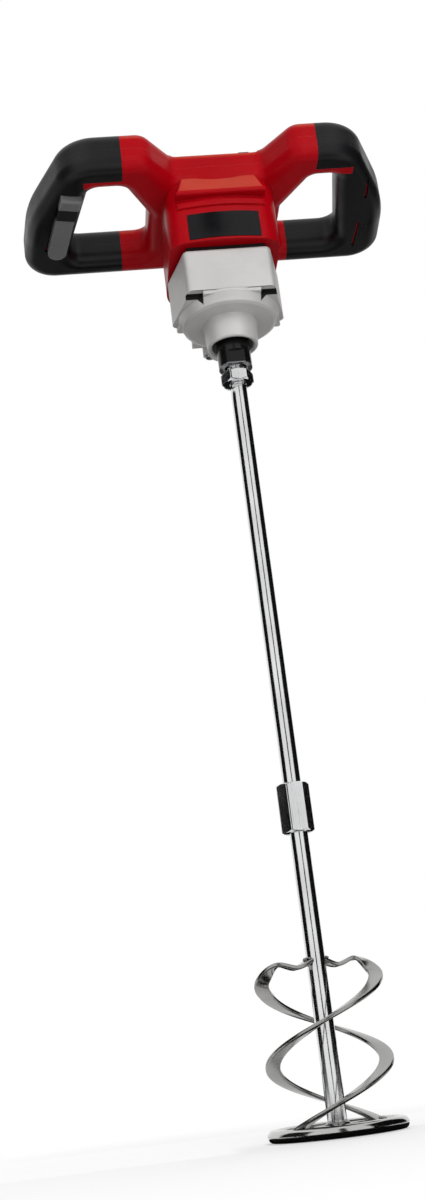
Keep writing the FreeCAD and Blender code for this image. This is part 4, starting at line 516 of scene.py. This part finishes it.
for name, node, flats in (("chamfered_lock_nut", "lock_nut", 0.024),
                          ("chamfered_coupling", "rod_coupling", 0.022)):
    low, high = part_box(node)
    hexagon = closed_mesh(name, [hexagon_grid(flats, low[2], high[2])], ring=True)
    piece_of(hexagon, "output", "chromed_steel", chrome, node)


# Stirrer's head: a round ring of bar on a spoke, and two flat bars that leave the rod in heart-shaped
# lobes, twist, and wind down to the ring. All is welded before plating.

ring_low, ring_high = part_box("bottom_ring")
ring_middle = (ring_low[2] + ring_high[2]) / 2.0
RING_BAR = (ring_high[2] - ring_low[2]) / 2.0
RING = ring_high[0] - RING_BAR


def torus_grid(radius, bar, height, rows=192, columns=40):
    """A round bar bent to a ring: the angle round the ring by the angle round the bar."""
    around = np.linspace(0.0, 2.0 * math.pi, rows, endpoint=False)[:, None]
    about = np.linspace(0.0, 2.0 * math.pi, columns, endpoint=False)
    reach = radius + bar * np.cos(about)
    return np.stack([reach * np.cos(around), reach * np.sin(around),
                     height + bar * np.sin(about) + 0.0 * around], -1)


# Painted shade: the ring's plating is given a darker colour than the rod's chrome, which stands in for the
# darker reflections it shows.
painted_shade_ring_plating = metal("painted_shade_ring_plating", tint(0.56, 0.558, 0.55), rough=0.15, grain=1200.0)
wear(painted_shade_ring_plating, "bottom_ring")
piece_of(closed_mesh("bent_bottom_ring", [torus_grid(RING, RING_BAR, ring_middle)], ring=True), "output",
         "chromed_steel", painted_shade_ring_plating, "bottom_ring")


def smooth_line(stations, count):
    """A cubic curve through stations: its slopes are the stations' differences over the chord length."""
    chord = np.concatenate([[0.0], np.cumsum(np.linalg.norm(np.diff(stations, axis=0), axis=1))])
    slope = np.gradient(stations, chord, axis=0)
    at = np.linspace(0.0, chord[-1], count)
    step = np.clip(np.searchsorted(chord, at, side="right") - 1, 0, len(chord) - 2)
    run = (chord[step + 1] - chord[step])[:, None]
    share = (at - chord[step])[:, None] / run
    rest = 1.0 - share
    leaving = (1.0 + 2.0 * share) * stations[step] + share * run * slope[step]
    arriving = (1.0 + 2.0 * rest) * stations[step + 1] - rest * run * slope[step + 1]
    return rest ** 2 * leaving + share ** 2 * arriving


def unit(vectors):
    """Vectors divided by their lengths."""
    return vectors / np.linalg.norm(vectors, axis=-1, keepdims=True)


RIBBON_RISE, RIBBON_FALL = 0.1025, 0.102
RIBBON_TOP = ring_middle + RIBBON_RISE
RIBBON_TURN = math.radians(330.0)
RIBBON_INSET = 0.005
RIBBON_RADIUS = RING - RIBBON_INSET
RIBBON_HALF = (0.00525, 0.0015)
RIBBON_ROUND = 0.0009
RIBBON_CORNER = 6
LOBE_LEAD = math.radians(14.0)
LOBE_LEAD_SHARES = np.array((1.62, 1.5, 1.0, 0.25))
LOBE_REACH = (0.0045, 0.0162, 0.0308, RIBBON_RADIUS)
LOBE_RISE = (0.0135, 0.009, 0.0123, 0.0031)
HELIX_START_SHARE = 0.06
HELIX_STATIONS = 44
TWIST_START, TWIST_LENGTH = 0.020, 0.036


def ribbon_grid(start, samples=420):
    """A flat bar with rounded edges carried along its path. The path runs out from the rod over a dip and a
    lobe, then down a helix. The bar lies level at the rod, and its width turns to lie along the radius."""
    share = np.linspace(1.0 / HELIX_STATIONS, 1.0, HELIX_STATIONS)
    share = HELIX_START_SHARE + (1.0 - HELIX_START_SHARE) * share
    reach = np.concatenate([LOBE_REACH, np.full(HELIX_STATIONS, RIBBON_RADIUS)])
    angle = start + np.concatenate([LOBE_LEAD_SHARES * LOBE_LEAD, -RIBBON_TURN * share])
    height = RIBBON_TOP + np.concatenate([LOBE_RISE, -RIBBON_FALL * share])
    line = smooth_line(np.stack([reach * np.cos(angle), reach * np.sin(angle), height], -1), samples)
    along = unit(np.gradient(line, axis=0))
    radial = unit(line * (1.0, 1.0, 0.0))
    steep = np.cross(along, radial)
    level = np.array((0.0, 0.0, np.sign(steep[-1, 2])))
    length = np.concatenate([[0.0], np.cumsum(np.linalg.norm(np.diff(line, axis=0), axis=1))])
    turn = np.clip((length - TWIST_START) / TWIST_LENGTH, 0.0, 1.0)[:, None]
    turn = turn * turn * (3.0 - 2.0 * turn)
    normal = level * (1.0 - turn) + steep * turn
    wide = unit(np.cross(normal, along))
    thick = np.cross(along, wide)
    quarters = np.repeat((0.0, 90.0, 180.0, 270.0), RIBBON_CORNER)
    corner = np.radians(quarters + np.tile(np.linspace(0.0, 90.0, RIBBON_CORNER), 4))
    middle = np.repeat([(1, 1), (-1, 1), (-1, -1), (1, -1)], RIBBON_CORNER, axis=0)
    across = middle[:, 0] * (RIBBON_HALF[0] - RIBBON_ROUND) + RIBBON_ROUND * np.cos(corner)
    deep = middle[:, 1] * (RIBBON_HALF[1] - RIBBON_ROUND) + RIBBON_ROUND * np.sin(corner)
    grid = line[:, None] + across[:, None] * wide[:, None] + deep[:, None] * thick[:, None]
    ends = [np.broadcast_to(line[end], (1, *grid.shape[1:])) for end in (0, -1)]
    return np.concatenate([ends[0], grid, ends[1]])


# Painted shade: the bars' plating is given a darker colour than the rod's chrome, which stands in for the
# darker reflections they show.
painted_shade_bar_plating = metal("painted_shade_bar_plating", tint(0.36, 0.357, 0.35), rough=0.2, grain=1200.0)
wear(painted_shade_bar_plating, "left_ribbon", "right_ribbon")
for name, node, start in (("twisted_left_ribbon", "left_ribbon", math.pi),
                          ("twisted_right_ribbon", "right_ribbon", 0.0)):
    piece_of(closed_mesh(name, [ribbon_grid(start)]), "output", "chromed_steel", painted_shade_bar_plating, node)


# Welds: short beads where the bars and the spoke meet the rod and the ring, and a round one at the rod's
# foot. They are laid by hand in overlapping drops and plated with the rest, so they are darker and
# rippled.

BEAD_SKEW = (0.31, 0.17, 0.94)
BEAD_RIPPLE = 0.10
BEAD_BLUNT = 0.7


def bead_grid(radius, turn, height, half_length, half_width, drops, ahead=0.0, rows=34, columns=20):
    """A bead that lies level across a radius at an angle, or a little ahead of it: an egg whose width is a
    power of the sine along it and ripples once for each drop."""
    along = np.array((-math.sin(turn), math.cos(turn), 0.0))
    side = unit(np.cross(along, BEAD_SKEW))
    third = np.cross(along, side)
    down = np.linspace(0.0, math.pi, rows)[:, None]
    about = np.linspace(0.0, 2.0 * math.pi, columns, endpoint=False)
    lean = np.cos(down)
    ripple = 1.0 + BEAD_RIPPLE * np.cos(lean * drops * math.pi + 0.5 * np.cos(about))
    breadth = half_width * np.sin(down) ** BEAD_BLUNT * ripple
    parts = (half_length * lean + 0.0 * breadth, breadth * np.cos(about), breadth * np.sin(about))
    centre = np.array((radius * math.cos(turn + ahead), radius * math.sin(turn + ahead), height))
    return centre + sum(part[..., None] * axis for part, axis in zip(parts, (along, side, third)))


ROD_BEAD = {"half_length": 0.0052, "half_width": 0.0015, "drops": 4.0}
ROD_BEAD_LEAD_SHARE = 1.61
ROD_BEAD_REACH, ROD_BEAD_RISE, ROD_BEAD_GAP = 0.0076, 0.0127, 0.0017
RIBBON_BEAD = {"half_length": 0.0060, "half_width": 0.0019, "drops": 5.0, "ahead": 0.05}
RIBBON_BEAD_INSET, RIBBON_BEAD_RISE = 0.0043, 0.0024
SPOKE_BEAD = {"half_length": 0.0056, "half_width": 0.0017, "drops": 5.0}
SPOKE_BEAD_INSET, SPOKE_BEAD_RISE = 0.0042, 0.0012
SPOKE_TURN = math.radians(49.0)
beads = []
for start in (math.pi, 0.0):
    for side in (-ROD_BEAD_GAP, ROD_BEAD_GAP):
        beads.append(bead_grid(ROD_BEAD_REACH, start + ROD_BEAD_LEAD_SHARE * LOBE_LEAD,
                               RIBBON_TOP + ROD_BEAD_RISE + side, **ROD_BEAD))
    beads.append(bead_grid(RING - RIBBON_BEAD_INSET, start - RIBBON_TURN, ring_middle + RIBBON_BEAD_RISE,
                           **RIBBON_BEAD))
    beads.append(bead_grid(RING - SPOKE_BEAD_INSET, SPOKE_TURN + start, ring_middle + SPOKE_BEAD_RISE,
                           **SPOKE_BEAD))
weld_dark = metal("weld_plating", tint(0.3, 0.3, 0.305), rough=0.24, grain=700.0)
piece_of(closed_mesh("weld_beads", beads), "output", "chromed_steel", weld_dark)
FOOT_BEAD, FOOT_BEAD_OUT = 0.0015, 0.0004
foot_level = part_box("lower_rod")[0][2] + FOOT_BEAD_OUT
foot_bead = torus_grid(ROD + FOOT_BEAD_OUT, FOOT_BEAD, foot_level, rows=48, columns=16)
piece_of(closed_mesh("foot_weld", [foot_bead], ring=True), "output", "chromed_steel", weld_dark)


# Studio: pale paper under the stirrer's ring that runs out to white, a white backdrop, soft lamps, and
# dark cards that only bright metal and gloss see, as a photographer sets them beside chrome.

def staged(name, corners, material):
    """A flat four-cornered panel that isn't part of the object."""
    mesh = bpy.data.meshes.new(name)
    mesh.from_pydata(corners, [], [(0, 1, 2, 3)])
    mesh.materials.append(material)
    panel = bpy.data.objects.new(name, mesh)
    bpy.context.scene.collection.objects.link(panel)
    return panel


WHITE = tint(1.0, 1.0, 1.0)
FLOOR = cad_box[0][2]
FLOOR_REACH = 8.0
PAPER_LIFT = 0.42
FADE_START, FADE_END = 0.08, 0.5
paper = Finish("floor_paper")
paper.surface(base_color=tint(0.8, 0.8, 0.8), roughness=0.9)
lit = Value(paper.tree, paper.shader.outputs[0])
rays = paper.tree.nodes.new("ShaderNodeLightPath")
seen = (Value(paper.tree, rays.outputs["Is Camera Ray"]) + Value(paper.tree, rays.outputs["Is Glossy Ray"])
        + Value(paper.tree, rays.outputs["Is Transmission Ray"]))
lift = paper.node("ShaderNodeEmission", None, {"Color": WHITE, "Strength": PAPER_LIFT})
bright = paper.node("ShaderNodeEmission", None, {"Color": WHITE, "Strength": 1.0})
near = paper.node("ShaderNodeAddShader", None, {0: lit, 1: lift})
flat = paper.node("ShaderNodeVectorMath", {"operation": "MULTIPLY"}, {0: paper.place, 1: (1.0, 1.0, 0.0)})
away = paper.node("ShaderNodeVectorMath", {"operation": "LENGTH"}, {0: flat}, "Value")
away = paper.span(away, FADE_START, FADE_END)
shown = paper.node("ShaderNodeMixShader", None, {0: away, 1: near, 2: bright})
shown = paper.node("ShaderNodeMixShader", None, {0: seen, 1: lit, 2: shown})
paper_end = next(node for node in paper.tree.nodes if node.type == "OUTPUT_MATERIAL")
plug(paper.tree, paper_end.inputs["Surface"], shown)


def level_panel(left, right, front, rear, height):
    """The corners of a level panel between two sides, a front and a rear."""
    return [(left, front, height), (right, front, height), (right, rear, height), (left, rear, height)]


def upright_panel(start, end, low, high):
    """The corners of an upright panel over a line in plan."""
    return [(*start, low), (*end, low), (*end, high), (*start, high)]


staged("floor", level_panel(-FLOOR_REACH, FLOOR_REACH, -FLOOR_REACH, FLOOR_REACH, FLOOR), paper.material)

dark_card = Finish("dark_card").surface(base_color=tint(0.012, 0.012, 0.012), roughness=0.9,
                                        specular_ior_level=0.0)
CARD_LIFT = 0.0005
CARDS = {
    "left_card": upright_panel((-1.25, -0.75), (-1.45, 0.75), FLOOR, 1.1),
    "right_card": upright_panel((1.05, -0.95), (1.3, 1.3), FLOOR, 1.1),
    "front_card": upright_panel((-0.2, -1.75), (0.17, -1.75), FLOOR, 2.2),
    "low_card": level_panel(-0.5, 0.5, -0.45, -0.06, FLOOR + CARD_LIFT),
    "ring_card": level_panel(-0.075, 0.075, -0.06, 0.02, FLOOR + CARD_LIFT),
    "rear_card": level_panel(-1.6, 1.6, 0.25, 2.6, FLOOR + CARD_LIFT),
}
for name, corners in CARDS.items():
    card = staged(name, corners, dark_card)
    card.visible_camera = card.visible_diffuse = card.visible_shadow = card.visible_transmission = False

world = bpy.data.worlds.new("studio")
bpy.context.scene.world = world
world.use_nodes = True
sky = world.node_tree
sky.nodes.clear()
rays = sky.nodes.new("ShaderNodeLightPath")
direct = (Value(sky, rays.outputs["Is Camera Ray"]) + Value(sky, rays.outputs["Is Glossy Ray"])
          + Value(sky, rays.outputs["Is Transmission Ray"]))
AMBIENT = 0.2
backdrop = sky.nodes.new("ShaderNodeBackground")
backdrop.inputs["Color"].default_value = WHITE
plug(sky, backdrop.inputs["Strength"], direct * (1.0 - AMBIENT) + AMBIENT)
sky.links.new(backdrop.outputs[0], sky.nodes.new("ShaderNodeOutputWorld").inputs["Surface"])


def lamp(name, place, aim, size, power):
    """A square soft lamp at a place, turned to face a point. Gloss and bright metal don't mirror it."""
    light = bpy.data.lights.new(name, "AREA")
    light.size = size
    light.energy = power
    holder = bpy.data.objects.new(name, light)
    towards = unit(np.subtract(aim, place))
    side = unit(np.cross(towards, (0.0, 0.0, 1.0)))
    up = np.cross(side, towards)
    holder.matrix_world = Matrix([(*pair, place[row]) for row, pair in enumerate(zip(side, up, -towards))]
                                 + [(0.0, 0.0, 0.0, 1.0)])
    holder.visible_camera = False
    holder.visible_glossy = False
    bpy.context.scene.collection.objects.link(holder)
    return holder


SPINDLE_AIM = (0.0, 0.0, -0.1)
lamp("key_lamp", (0.3, -2.2, 0.7), SPINDLE_AIM, size=1.6, power=26.0)
lamp("fill_lamp", (-1.7, -1.4, 0.9), SPINDLE_AIM, size=1.6, power=6.0)
lamp("back_lamp", (0.4, 1.6, 1.6), SPINDLE_AIM, size=1.6, power=22.0)
lamp("low_lamp", (0.5, -1.3, -0.4), (0.0, 0.0, 0.05), size=0.8, power=5.0)

# One small warm lamp hangs overhead. It lights the red mouldings alone, and the slope of the hood and the
# edge of the belt mirror it down to the camera.
top_lamp = lamp("top_lamp", (0.17, -0.28, 1.6), (0.0, -0.05, 0.12), size=0.5, power=5.0)
top_lamp.data.color = (1.0, 0.42, 0.16)
top_lamp.visible_glossy = True
top_lamp.light_linking.receiver_collection = bpy.data.collections.new("red_mouldings")
for name in RED_MOULDINGS:
    top_lamp.light_linking.receiver_collection.objects.link(nodes[name])

# The camera stands low and to the left, turned to the tool, tilted up along it, panned and rolled.
CAMERA_RISE = 0.043
CAMERA_TURNS = (8.0, 18.6, 2.19, 7.70)
camera_place = np.array((-0.14766, -1.05067, ring_middle + CAMERA_RISE))
azimuth, pitch, pan, roll = (math.radians(angle) for angle in CAMERA_TURNS)
level = np.array((math.sin(azimuth), math.cos(azimuth), 0.0))
right = np.array((math.cos(azimuth), -math.sin(azimuth), 0.0))
ahead = level * math.cos(pitch) + np.array((0.0, 0.0, 1.0)) * math.sin(pitch)
above = np.cross(right, ahead)
turned_right = right * math.cos(pan) + ahead * math.sin(pan)
turned_ahead = ahead * math.cos(pan) - right * math.sin(pan)
camera_right = turned_right * math.cos(roll) - above * math.sin(roll)
camera_up = turned_right * math.sin(roll) + above * math.cos(roll)
camera = bpy.data.cameras.new("camera")
camera.sensor_fit = "VERTICAL"
camera.sensor_height = 36.0
camera.lens = 42.45
camera.clip_start = 0.01
camera_holder = bpy.data.objects.new("camera", camera)
camera_rows = np.stack([camera_right, camera_up, -turned_ahead, camera_place], -1)
camera_holder.matrix_world = Matrix([*camera_rows.tolist(), (0.0, 0.0, 0.0, 1.0)])
bpy.context.scene.collection.objects.link(camera_holder)
bpy.context.scene.camera = camera_holder
bpy.context.scene.view_settings.view_transform = "Standard"
